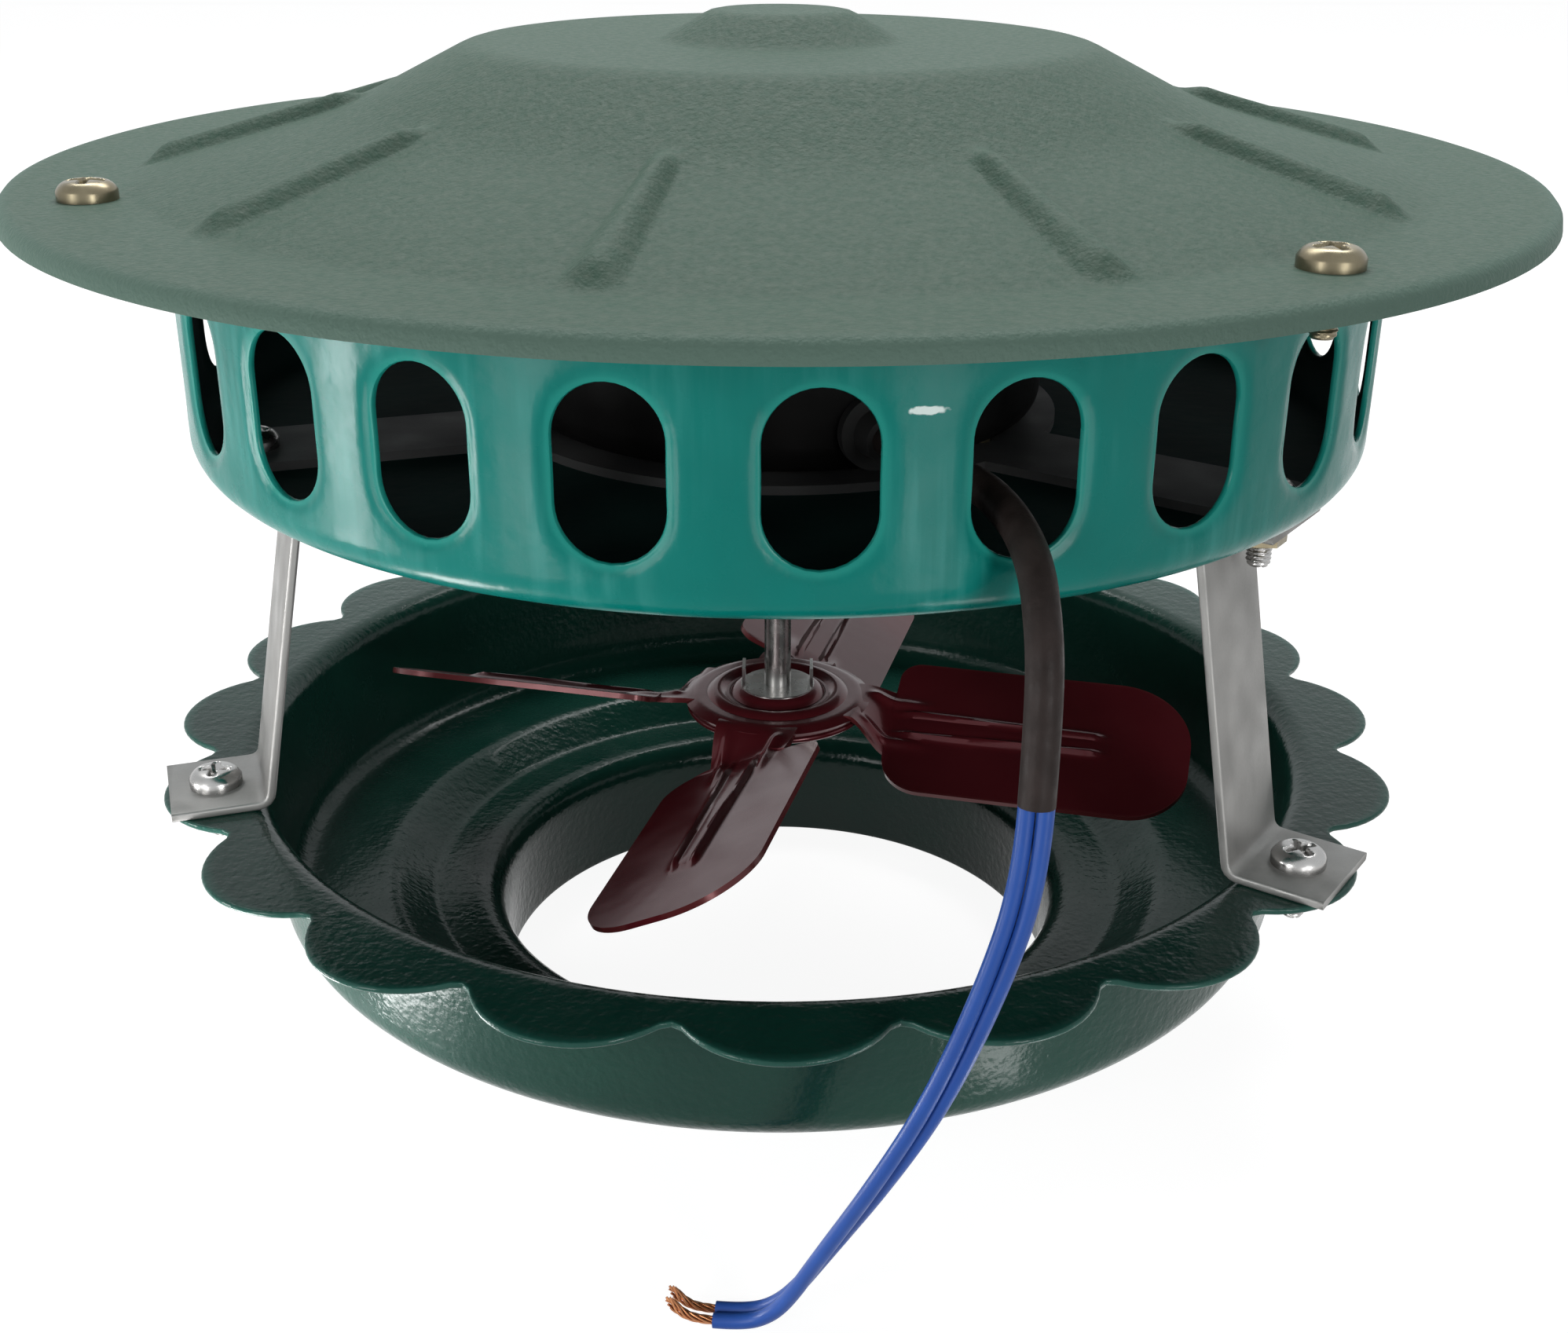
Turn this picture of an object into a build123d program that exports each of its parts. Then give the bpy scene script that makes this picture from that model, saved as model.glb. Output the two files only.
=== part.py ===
from build123d import *
import os
from math import cos, pi, radians, sin, tan

# Chimney exhaust fan, millimetres, +Z up, origin on the axis at the lower edge of the flue spigot.
# Front angles count from -Y, positive towards +X.

# Sheet metal
sheet = 1.0
strip_gauge = 1.5
strip_width = 20.0
strip_bend = 3.0

# Base pan
spigot_radius = 54.8
spigot_height = 22.0
spigot_lip_radius = 4.0
ledge_radius = 67.0
step_run = 8.0
step_rise = 5.0
step_radius = 3.0
pan_depth = 28.0
pan_floor_radius = 94.5
pan_flare = 2.0
pan_corner_radius = 6.0
flange_bend_radius = 3.0
lobe_count = 20
flange_width = 16.0
lobe_depth = 10.5
lobe_valley_round = 6.0
lobe_offset_angle = 1.0

# Legs
leg_height = 59.3
leg_lobes = (3, 10, 16)
leg_foot_setback = 1.5
leg_foot_length = 17.0
leg_foot_hole_reach = 7.5
leg_top_inset = 17.0
leg_top_length = 13.0
leg_top_hole_reach = 7.5

# Motor drum
drum_radius = 101.0
drum_corner_radius = 5.0
drum_height = 43.7
drum_flange_width = 18.0
drum_flange_bend = 2.0
slot_count = 23
slot_width = 16.0
slot_height = 25.0
slot_lift = 7.7
slot_offset_angle = 3.3
shaft_opening_radius = 9.5

# Rain cap
cap_overhang = 24.0
cap_edge_drop = 2.6
cap_edge_round = 2.2
brim_inner_reach = 4.7
brim_round = 8.0
bell_radius = 71.7
bell_rise = 9.2
bell_round = 55.0
plateau_radius = 51.2
plateau_rise = 19.4
plateau_round = 10.0
boss_foot_radius = 19.0
boss_top_radius = 11.4
boss_rise = 4.6
boss_round = 3.0
cap_rib_count = 10
cap_rib_offset_angle = 23.5
cap_rib_inner = 68.0
cap_rib_outer_gap = 0.7
cap_rib_inner_width = 5.0
cap_rib_outer_width = 8.0
cap_rib_height = 2.0
cap_screw_angles = (39.5, 165.5, -67.5)
cap_screw_reach = 10.5

# Screws and nuts
screw_radius = 2.0
screw_hole_gap = 0.25
screw_head_radius = 4.5
screw_head_height = 3.0
screw_head_round = 1.4
screw_reach = 4.0
nut_flats = 7.0
nut_height = 3.2
thread_gap = 0.03

# Motor
motor_radius = 46.0
motor_height = 48.0
motor_wall = 1.2
motor_corner_radius = 5.0
bracket_gauge = 1.5
bracket_disc_rim = 3.0
bracket_arm_width = 20.0
bracket_gap = 0.3
bolt_edge_gap = 5.0
bolt_radius = 2.0
bearing_radius = 8.0
bearing_height = 9.0
bearing_cup_wall = 1.5
stator_gap = 0.3
stator_bore_gap = 3.0
stator_height = 22.0
stator_slot_count = 12
stator_slot_depth = 9.0
stator_slot_width = 5.0
winding_width = 10.0
winding_bolt_gap = 4.0
winding_height = 9.0
air_gap = 0.5
rotor_height = 24.0
washer_radius = 5.0
washer_height = 1.0

# Shaft and fan
shaft_radius = 2.5
shaft_running_gap = 0.05
seat_gap = 0.02
shaft_above_bearing = 1.5
shaft_below_hub = 7.0
fan_height = 59.3
hub_radius = 17.5
hub_crown_radius = 7.5
hub_crown_rise = 1.2
hub_ring_radius = 12.5
hub_ring_half_width = 1.6
hub_ring_rise = 1.0
blade_count = 4
blade_azimuth = -14.0
blade_pitch = 25.0
blade_tip_radius = 78.0
blade_chord = 31.0
blade_neck_radius = 15.0
blade_neck_width = 15.0
blade_root_radius = 22.0
blade_drop = 4.0
blade_rear_shoulder = 4.0
blade_front_shoulder = 8.0
blade_rear_round = 14.0
blade_front_round = 11.0
blade_rib_inner = 28.0
blade_rib_outer = 62.0
blade_rib_width = 6.0
blade_rib_height = 1.4
hub_bush_radius = 6.0
hub_bush_height = 5.0
clip_radius = 7.0
clip_gauge = 0.6
clip_ear_width = 5.0
clip_ear_height = 4.0

# Lead outlet of the motor
outlet_angle = 18.95
outlet_lift = 7.5
grommet_bore_radius = 4.0
grommet_flange_radius = 6.0
grommet_flange_height = 2.0
grommet_nose_radius = 3.4
grommet_nose_length = 4.0
grommet_inset = 3.0

# Cable sleeve and blue leads: hand-placed routes, and the side by side spread of the two leads
sleeve_diameter = 5.0
lead_diameter = 2.4
strand_diameter = 1.4
lead_spread = 1.3
sleeve_route = [
    (16.9, -49.21, 124.3),
    (22.08, -64.31, 124.3),
    (27.9, -81.3, 128.6),
    (33.2, -98.6, 126.0),
    (34.3, -108.2, 116.5),
    (34.1, -112.2, 105.5),
    (33.7, -113.8, 95.5),
]
lead_route = [
    (33.7, -113.8, 95.5),
    (33.3, -115.4, 85.5),
    (29.2, -117.0, 70.5),
    (22.5, -117.8, 52.5),
    (15.4, -115.2, 36.5),
    (7.2, -110.0, 18.5),
    (2.9, -106.8, 8.4),
    (-0.6, -104.8, 3.2),
    (-4.8, -103.9, 1.4),
    (-8.9, -103.3, 1.25),
]
lead_spread_angles = (-14, -14, 0, 15, 30, 50, 65, 75, 82, 82)
strand_steps = [(-2.9, 0.42, -0.1), (-2.6, 0.6, 1.1), (-1.7, 0.45, 2.1)]

# Places that follow from the driving sizes
front_azimuth = -90.0
pan_top_radius = pan_floor_radius + pan_flare
lobe_tip_radius = pan_top_radius + flange_width
lobe_root_radius = lobe_tip_radius - lobe_depth
leg_foot_radius = pan_top_radius - leg_foot_setback
foot_hole_radius_place = pan_top_radius + leg_foot_hole_reach
leg_top_radius = drum_radius - leg_top_inset
top_hole_radius_place = leg_top_radius + leg_top_hole_reach
drum_flange_radius = drum_radius + drum_flange_width
cap_radius = drum_radius + cap_overhang
brim_inner_radius = drum_radius + brim_inner_reach
cap_rib_outer = brim_inner_radius - cap_rib_outer_gap
cap_screw_radius_place = drum_radius + cap_screw_reach
pan_floor_z = spigot_height + step_rise
flange_z = pan_floor_z + pan_depth
drum_z = flange_z + leg_height
drum_floor_z = drum_z + sheet
drum_top_z = drum_z + drum_height
brim_z = drum_top_z + sheet
bracket_disc_radius = motor_radius + bracket_disc_rim
bolt_radius_place = motor_radius - bolt_edge_gap
winding_outer_radius = bolt_radius_place - winding_bolt_gap
winding_inner_radius = winding_outer_radius - winding_width
stator_bore_radius = winding_inner_radius - stator_bore_gap
bracket_top_z = drum_floor_z + bracket_gauge
motor_top_z = bracket_top_z + motor_height
motor_seam_z = bracket_top_z + motor_height / 2
bearing_low_z = bracket_top_z + motor_wall
bearing_high_z = motor_top_z - motor_wall - bearing_height
shaft_top_z = motor_top_z - motor_wall + shaft_above_bearing
shaft_bottom_z = fan_height - shaft_below_hub
hub_seat_z = fan_height + hub_crown_rise
leg_angles = [lobe_offset_angle + 360 / lobe_count * lobe for lobe in leg_lobes]


def facing(front_angle):
    """Turns a shape built along +X to a front angle."""
    return Rot(Z=front_angle + front_azimuth)


def turned_sheet(points, rounds, gauge, side):
    """Pressed sheet of revolution: a line through (radius, height) points, thickened to one side."""
    line = FilletPolyline(*points, radius=rounds)
    section = make_face(offset(line, gauge, side=side))
    return revolve(Plane.XZ * section, Axis.Z)


def ring(outer_radius, inner_radius, height, z):
    """Plain ring standing on height z."""
    section = Circle(outer_radius) - Circle(inner_radius)
    return extrude(Plane.XY.offset(z) * section, height)


def upright(radius, z_low, z_high, place_radius=0.0, front_angle=90.0):
    """Upright cylinder between two heights, at a place round the axis."""
    disc = Plane.XY.offset(z_low) * Pos(place_radius, 0) * Circle(radius)
    return facing(front_angle) * extrude(disc, z_high - z_low)


def pan_screw(z_seat, length, place_radius, front_angle, radius=screw_radius):
    """Pan-head screw seated at z_seat, shank downwards."""
    head_disc = Plane.XY.offset(z_seat) * Circle(screw_head_radius)
    head = extrude(head_disc, screw_head_height)
    head = fillet(head.edges().sort_by(Axis.Z)[-1], screw_head_round)
    shank = extrude(Plane.XY.offset(z_seat) * Circle(radius), -length)
    return facing(front_angle) * Pos(place_radius, 0, 0) * (head + shank)


def hex_nut(z_low, place_radius, front_angle, radius=screw_radius):
    """Hexagon nut standing on z_low."""
    outline = RegularPolygon(nut_flats / 2, 6, major_radius=False) - Circle(radius + thread_gap)
    nut = extrude(Plane.XY.offset(z_low) * outline, nut_height)
    return facing(front_angle) * Pos(place_radius, 0, 0) * Rot(Z=30) * nut


def group(shapes):
    """Several like pieces in one node."""
    return Compound(children=[solid for shape in shapes for solid in shape.solids()])


def lobed_outline():
    """Flange outline: equal round lobes with rounded valleys between them."""
    pitch = 360 / lobe_count
    arcs = []
    for lobe in range(lobe_count):
        middle = lobe_offset_angle + front_azimuth + pitch * lobe
        start, top, end = [
            (radius * cos(radians(angle)), radius * sin(radians(angle)))
            for radius, angle in (
                (lobe_root_radius, middle - pitch / 2),
                (lobe_tip_radius, middle),
                (lobe_root_radius, middle + pitch / 2),
            )
        ]
        arcs.append(ThreePointArc(start, top, end))
    outline = make_face(arcs)
    return fillet(outline.vertices(), lobe_valley_round)


def make_base_pan():
    """Spigot, ledge, step, floor, wall and scalloped flange from one sheet."""
    points = [
        (spigot_radius, 0),
        (spigot_radius, spigot_height - sheet),
        (ledge_radius, spigot_height - sheet),
        (ledge_radius + step_run, pan_floor_z - sheet),
        (pan_floor_radius, pan_floor_z - sheet),
        (pan_top_radius, flange_z - sheet),
        (lobe_tip_radius + lobe_valley_round, flange_z - sheet),
    ]
    rounds = [spigot_lip_radius, step_radius, step_radius, pan_corner_radius, flange_bend_radius]
    pan = turned_sheet(points, rounds, sheet, Side.LEFT)
    pan = pan & extrude(lobed_outline(), flange_z + sheet)
    for angle in leg_angles:
        hole = upright(screw_radius + screw_hole_gap, 0, flange_z + sheet, foot_hole_radius_place, angle)
        pan = pan - hole
    return pan


def make_leg(front_angle):
    """Strap leg: foot tab on the flange, leaning web, top tab under the drum."""
    points = [
        (leg_foot_radius + leg_foot_length, flange_z),
        (leg_foot_radius, flange_z),
        (leg_top_radius, drum_z),
        (leg_top_radius + leg_top_length, drum_z),
    ]
    line = FilletPolyline(*points, radius=[strip_bend, strip_bend])
    section = make_face(offset(line, strip_gauge, side=Side.RIGHT))
    leg = extrude(Plane.XZ * section, strip_width / 2, both=True)
    hole_radius = screw_radius + screw_hole_gap
    foot_hole = Pos(foot_hole_radius_place, 0, flange_z) * Cylinder(hole_radius, 4 * strip_gauge)
    top_hole = Pos(top_hole_radius_place, 0, drum_z) * Cylinder(hole_radius, 4 * strip_gauge)
    return facing(front_angle) * (leg - foot_hole - top_hole)


def make_drum():
    """Bowl with a row of upright slots, a top flange and holes for shaft, legs and motor bolts."""
    points = [
        (shaft_opening_radius, drum_z),
        (drum_radius, drum_z),
        (drum_radius, drum_top_z - sheet),
        (drum_flange_radius, drum_top_z - sheet),
    ]
    drum = turned_sheet(points, [drum_corner_radius, drum_flange_bend], sheet, Side.LEFT)
    slot_plane = Plane(origin=(0, 0, drum_z + slot_lift + slot_height / 2), x_dir=(0, 0, 1), z_dir=(1, 0, 0))
    slot = extrude(slot_plane * SlotOverall(slot_height, slot_width), drum_radius + sheet)
    for number in range(slot_count):
        drum = drum - facing(slot_offset_angle + 360 / slot_count * number) * slot
    for angle in leg_angles:
        drum = drum - upright(screw_radius + screw_hole_gap, 0, drum_floor_z, top_hole_radius_place, angle)
        drum = drum - upright(bolt_radius + screw_hole_gap, 0, drum_floor_z, bolt_radius_place, angle)
    for angle in cap_screw_angles:
        hole = upright(screw_radius + screw_hole_gap, drum_floor_z, brim_z, cap_screw_radius_place, angle)
        drum = drum - hole
    return drum


def cap_dome(inset):
    """Solid under the cap's surface, set in by the sheet where inset is the gauge."""
    plateau_z = brim_z + plateau_rise - inset
    edge_radius = cap_radius - inset
    points = [
        (0, plateau_z + boss_rise),
        (boss_top_radius, plateau_z + boss_rise),
        (boss_foot_radius, plateau_z),
        (plateau_radius, plateau_z),
        (bell_radius, brim_z + bell_rise - inset),
        (brim_inner_radius, brim_z - inset),
        (edge_radius, brim_z - inset),
        (edge_radius, brim_z - cap_edge_drop),
    ]
    rounds = [boss_round, boss_round, plateau_round, bell_round, brim_round, cap_edge_round - inset]
    line = FilletPolyline(*points, radius=rounds)
    foot = Polyline(points[-1], (0, brim_z - cap_edge_drop), points[0])
    return revolve(Plane.XZ * make_face(line + foot), Axis.Z)


def cap_rib_prisms(inset):
    """Upright prisms on the plan of the ribs, narrower by the inset on every side."""
    inner = cap_rib_inner + inset
    outer = cap_rib_outer - inset
    half_inner = cap_rib_inner_width / 2 - inset
    half_outer = cap_rib_outer_width / 2 - inset
    corners = [(inner, -half_inner), (outer, -half_outer), (outer, half_outer), (inner, half_inner)]
    plan = fillet(make_face(Polyline(*corners, close=True)).vertices(), half_inner * 0.9)
    prism = extrude(Plane.XY.offset(brim_z - cap_edge_drop) * plan, plateau_rise + boss_rise)
    pitch = 360 / cap_rib_count
    return [facing(cap_rib_offset_angle + pitch * number) * prism for number in range(cap_rib_count)]


def make_rain_cap():
    """Pressed cap: boss, plateau, bell, ribs, brim and turned-down edge, hollow below."""
    outside = cap_dome(0)
    inside = cap_dome(sheet)
    raised_outside = Pos(0, 0, cap_rib_height) * outside
    raised_inside = Pos(0, 0, cap_rib_height) * inside
    for prism in cap_rib_prisms(0):
        outside = outside + (raised_outside & prism)
    for prism in cap_rib_prisms(sheet):
        inside = inside + (raised_inside & prism)
    cap = outside - inside
    for angle in cap_screw_angles:
        hole = upright(screw_radius + screw_hole_gap, drum_top_z, brim_z + sheet, cap_screw_radius_place, angle)
        cap = cap - hole
    return cap


def make_motor_bracket():
    """Flat plate with one arm to each leg screw."""
    plate = Circle(bracket_disc_radius)
    for angle in leg_angles:
        arm_end = top_hole_radius_place
        arm = Pos(arm_end / 2, 0) * Rectangle(arm_end, bracket_arm_width)
        tip = Pos(arm_end, 0) * Circle(bracket_arm_width / 2)
        arm_limit = Circle(drum_radius - drum_corner_radius - bracket_gap)
        plate = plate + facing(angle) * ((arm + tip) & arm_limit)
    plate = plate - Circle(shaft_opening_radius)
    bracket = extrude(Plane.XY.offset(drum_floor_z) * plate, bracket_gauge)
    for angle in leg_angles:
        bracket = bracket - upright(
            screw_radius + screw_hole_gap, 0, motor_top_z, top_hole_radius_place, angle
        )
        bracket = bracket - upright(bolt_radius + screw_hole_gap, 0, motor_top_z, bolt_radius_place, angle)
    return bracket


def motor_shell(end_z, seam_z):
    """Half of the motor can: end wall with a bearing cup, round corner, open at the seam."""
    rise = 1 if seam_z > end_z else -1
    cup_radius = bearing_radius + seat_gap + bearing_cup_wall
    side = Side.LEFT if rise > 0 else Side.RIGHT
    bore = shaft_radius + screw_hole_gap
    points = [(bore, end_z), (motor_radius, end_z), (motor_radius, seam_z)]
    shell = turned_sheet(points, [motor_corner_radius], motor_wall, side)
    cup_low = min(end_z, end_z + rise * (motor_wall + bearing_height))
    cup = ring(cup_radius, bearing_radius + seat_gap, motor_wall + bearing_height, cup_low)
    shell = shell + cup
    for angle in leg_angles:
        hole_low = min(end_z, seam_z)
        shell = shell - upright(
            bolt_radius + screw_hole_gap, hole_low, hole_low + motor_height, bolt_radius_place, angle
        )
    return shell


def make_lower_shell():
    """Lower half of the motor can, with the side hole for the lead grommet."""
    shell = motor_shell(bracket_top_z, motor_seam_z)
    return shell - grommet_turning(grommet_bore_radius + seat_gap, motor_radius - 2 * motor_wall, motor_radius)


def grommet_turning(radius, start, end, end_radius=None):
    """Cylinder or cone lying along the lead outlet, from one radius of the motor to another."""
    plane = Plane(origin=(start, 0, bracket_top_z + outlet_lift), x_dir=(0, 1, 0), z_dir=(1, 0, 0))
    if end_radius is None:
        body = extrude(plane * Circle(radius), end - start)
    else:
        body = loft([plane * Circle(radius), plane.offset(end - start) * Circle(end_radius)])
    return facing(outlet_angle) * body


def make_lead_grommet():
    """Rubber grommet: plug in the shell's hole, flange outside and a tapered nose."""
    flange_end = motor_radius + grommet_flange_height
    plug = grommet_turning(grommet_bore_radius, motor_radius - grommet_inset, motor_radius)
    flange = grommet_turning(grommet_flange_radius, motor_radius, flange_end)
    nose_end = flange_end + grommet_nose_length
    nose = grommet_turning(grommet_bore_radius, flange_end, nose_end, grommet_nose_radius)
    return plug + flange + nose


def make_stator_core():
    """Laminated ring with inner slots and holes for the through bolts."""
    outer = motor_radius - motor_wall - stator_gap
    core = ring(outer, stator_bore_radius, stator_height, motor_seam_z - stator_height / 2)
    slot_end = stator_bore_radius + stator_slot_depth
    slot = Pos(slot_end / 2, 0, motor_seam_z) * Box(slot_end, stator_slot_width, stator_height)
    for number in range(stator_slot_count):
        core = core - Rot(Z=360 / stator_slot_count * (number + 0.5)) * slot
    for angle in leg_angles:
        core = core - upright(bolt_radius + screw_hole_gap, 0, motor_top_z, bolt_radius_place, angle)
    return core


def make_stator_winding():
    """Two wound heads, one on each face of the stator core."""
    heads = []
    for low in (motor_seam_z + stator_height / 2, motor_seam_z - stator_height / 2 - winding_height):
        head = ring(winding_outer_radius, winding_inner_radius, winding_height, low)
        heads.append(head)
    return group(heads)


def make_fan_hub():
    """Hub disc with a raised crown round the bore and one embossed ring."""
    low = fan_height - sheet
    bore = shaft_radius + seat_gap
    crown_foot = hub_crown_radius + hub_crown_rise
    points = [
        (bore, low + hub_crown_rise),
        (hub_crown_radius, low + hub_crown_rise),
        (crown_foot, low),
        (hub_ring_radius - hub_ring_half_width, low),
        (hub_ring_radius, low + hub_ring_rise),
        (hub_ring_radius + hub_ring_half_width, low),
        (hub_radius, low),
    ]
    rounds = [0.5, 0.5, 0.3, 0.3, 0.3]
    return turned_sheet(points, rounds, sheet, Side.LEFT)


def make_blade():
    """Paddle along +X, lower than the hub: sloping twisted neck, pitched flat blade, round corners, long rib."""
    half_chord = blade_chord / 2
    corners = [
        (blade_root_radius, -half_chord),
        (blade_tip_radius, -half_chord),
        (blade_tip_radius, half_chord),
        (blade_root_radius, half_chord),
    ]
    rounds = [blade_front_shoulder, blade_front_round, blade_rear_round, blade_rear_shoulder]
    outline = make_face(Polyline(*corners, close=True))
    for corner, size in zip(corners, rounds):
        vertex = outline.vertices().sort_by_distance((*corner, 0))[0]
        outline = fillet(vertex, size)
    plate = extrude(Plane.XY.offset(-sheet / 2) * outline, sheet)
    rib_middle = (blade_rib_inner + blade_rib_outer) / 2
    rib_length = blade_rib_outer - blade_rib_inner
    rib_plan = Pos(rib_middle, 0) * SlotOverall(rib_length, blade_rib_width)
    hollow_plan = Pos(rib_middle, 0) * SlotOverall(rib_length - 2 * sheet, blade_rib_width - 2 * sheet)
    rib = extrude(Plane.XY.offset(-sheet / 2) * rib_plan, sheet + blade_rib_height)
    hollow = extrude(Plane.XY.offset(-sheet / 2) * hollow_plan, blade_rib_height)
    plate = Pos(0, 0, -blade_drop) * Rot(X=blade_pitch) * (plate + rib - hollow)
    neck_start = Plane(origin=(blade_neck_radius, 0, 0), x_dir=(0, 1, 0), z_dir=(1, 0, 0))
    neck_end = Plane(origin=(blade_root_radius, 0, -blade_drop), x_dir=(0, 1, 0), z_dir=(1, 0, 0))
    neck_sections = [
        neck_start * Rectangle(blade_neck_width, sheet),
        neck_end * Rot(Z=blade_pitch) * Rectangle(blade_neck_width, sheet),
    ]
    return plate + loft(neck_sections)


def make_fan():
    """One-piece pressed fan."""
    blade = Pos(0, 0, fan_height - sheet / 2) * make_blade()
    pitch = 360 / blade_count
    blades = [Rot(Z=blade_azimuth + pitch * number) * blade for number in range(blade_count)]
    return make_fan_hub().fuse(*blades)


def make_shaft_clip():
    """Push-on clip: spring disc on the hub with two raised ears."""
    disc = ring(clip_radius, shaft_radius + seat_gap, clip_gauge, hub_seat_z)
    ear_middle = clip_radius - clip_gauge
    ear_height = clip_gauge + clip_ear_height
    ear = Pos(ear_middle, 0, hub_seat_z + ear_height / 2) * Box(clip_gauge, clip_ear_width, ear_height)
    return disc + ear + Rot(Z=180) * ear


def tube(route, diameter, name):
    """Cord along straight runs and tangent arcs, each arc as large as its runs allow."""
    points = [Vector(*point) for point in route]
    runs = [b - a for a, b in zip(points, points[1:])]
    rounds = []
    for before, after in zip(runs, runs[1:]):
        half_turn = radians(before.get_angle(after)) / 2
        rounds.append(0.45 * min(before.length, after.length) / tan(half_turn))
    path = FilletPolyline(*points, radius=rounds)
    section = Plane(origin=points[0], z_dir=runs[0]) * Circle(diameter / 2)
    solid = sweep(section, path=path)
    share = solid.volume / (path.length * pi * diameter**2 / 4)
    print(name, "radii", [round(r, 1) for r in rounds])
    print(name, "length", round(path.length, 1), "volume share", round(share, 4))
    return solid


def beside(route, angles, side):
    """Route of one of the two leads, moved to one side of the middle line."""
    shifted = []
    for (x, y, z), angle in zip(route, angles):
        shift = side * lead_spread
        shifted.append((x + shift * cos(radians(angle)), y + shift * sin(radians(angle)), z))
    return shifted


def strand_route(lead):
    """Bare strand that goes on from the end of a lead and turns up."""
    route = [lead[-1]]
    for step in strand_steps:
        route.append(tuple(a + b for a, b in zip(route[-1], step)))
    return route


parts = {}

# Housing sheet metal
parts["base_pan"] = make_base_pan()
for number, angle in enumerate(leg_angles, start=1):
    parts[f"leg_{number}"] = make_leg(angle)
parts["motor_drum"] = make_drum()
parts["rain_cap"] = make_rain_cap()

# Screws and nuts of the legs and the cap
foot_grip = strip_gauge + sheet
foot_seat_z = flange_z + strip_gauge
foot_nut_z = flange_z - sheet - nut_height
top_grip = bracket_gauge + sheet + strip_gauge
top_nut_z = drum_z - strip_gauge - nut_height
cap_grip = 2 * sheet
cap_nut_z = brim_z - cap_grip - nut_height
screw_extra = nut_height + screw_reach
parts["leg_foot_screws"] = group(
    pan_screw(foot_seat_z, foot_grip + screw_extra, foot_hole_radius_place, angle) for angle in leg_angles
)
parts["leg_foot_nuts"] = group(hex_nut(foot_nut_z, foot_hole_radius_place, angle) for angle in leg_angles)
parts["leg_top_screws"] = group(
    pan_screw(bracket_top_z, top_grip + screw_extra, top_hole_radius_place, angle) for angle in leg_angles
)
parts["leg_top_nuts"] = group(hex_nut(top_nut_z, top_hole_radius_place, angle) for angle in leg_angles)
parts["cap_screws"] = group(
    pan_screw(brim_z, cap_grip + screw_extra, cap_screw_radius_place, angle) for angle in cap_screw_angles
)
parts["cap_nuts"] = group(hex_nut(cap_nut_z, cap_screw_radius_place, angle) for angle in cap_screw_angles)

# Motor
parts["motor_bracket"] = make_motor_bracket()
parts["motor_lower_shell"] = make_lower_shell()
parts["motor_upper_shell"] = motor_shell(motor_top_z, motor_seam_z)
parts["stator_core"] = make_stator_core()
parts["stator_winding"] = make_stator_winding()
bearing_bore = shaft_radius + shaft_running_gap
parts["lower_bearing"] = ring(bearing_radius, bearing_bore, bearing_height, bearing_low_z)
parts["upper_bearing"] = ring(bearing_radius, bearing_bore, bearing_height, bearing_high_z)
bolt_length = motor_height + bracket_gauge + sheet + screw_extra
parts["motor_bolts"] = group(
    pan_screw(motor_top_z, bolt_length, bolt_radius_place, angle, bolt_radius) for angle in leg_angles
)
parts["motor_nuts"] = group(
    hex_nut(drum_z - nut_height, bolt_radius_place, angle, bolt_radius) for angle in leg_angles
)
parts["lead_grommet"] = make_lead_grommet()

# Turning parts
parts["shaft"] = upright(shaft_radius, shaft_bottom_z, shaft_top_z)
rotor_bore = shaft_radius + seat_gap
rotor_radius = stator_bore_radius - air_gap
parts["rotor_core"] = ring(rotor_radius, rotor_bore, rotor_height, motor_seam_z - rotor_height / 2)
washer_low_z = motor_seam_z - rotor_height / 2 - washer_height
washer_high_z = motor_seam_z + rotor_height / 2
parts["thrust_washers"] = group(
    ring(washer_radius, rotor_bore, washer_height, z) for z in (washer_low_z, washer_high_z)
)
parts["fan"] = make_fan()
hub_bush_z = fan_height - sheet + hub_crown_rise - hub_bush_height
parts["hub_bush"] = ring(hub_bush_radius, rotor_bore, hub_bush_height, hub_bush_z)
parts["shaft_clip"] = make_shaft_clip()

# Cable sleeve, leads and bare strands
parts["cable_sleeve"] = tube(sleeve_route, sleeve_diameter, "cable_sleeve")
for number, side in ((1, -1), (2, 1)):
    lead = beside(lead_route, lead_spread_angles, side)
    parts[f"blue_lead_{number}"] = tube(lead, lead_diameter, f"blue_lead_{number}")
    strands = strand_route(lead)
    parts[f"lead_strands_{number}"] = tube(strands, strand_diameter, f"lead_strands_{number}")

os.makedirs("parts", exist_ok=True)
for name, shape in parts.items():
    export_step(shape, f"parts/{name}.step")
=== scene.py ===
"""Looks of a chimney exhaust fan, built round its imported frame, in metres with sizes given in millimetres."""
import logging
from collections.abc import Sequence
from dataclasses import dataclass
from enum import Enum
from math import radians

import bmesh
import bpy
import numpy as np
from mathutils import Matrix, Vector


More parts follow.
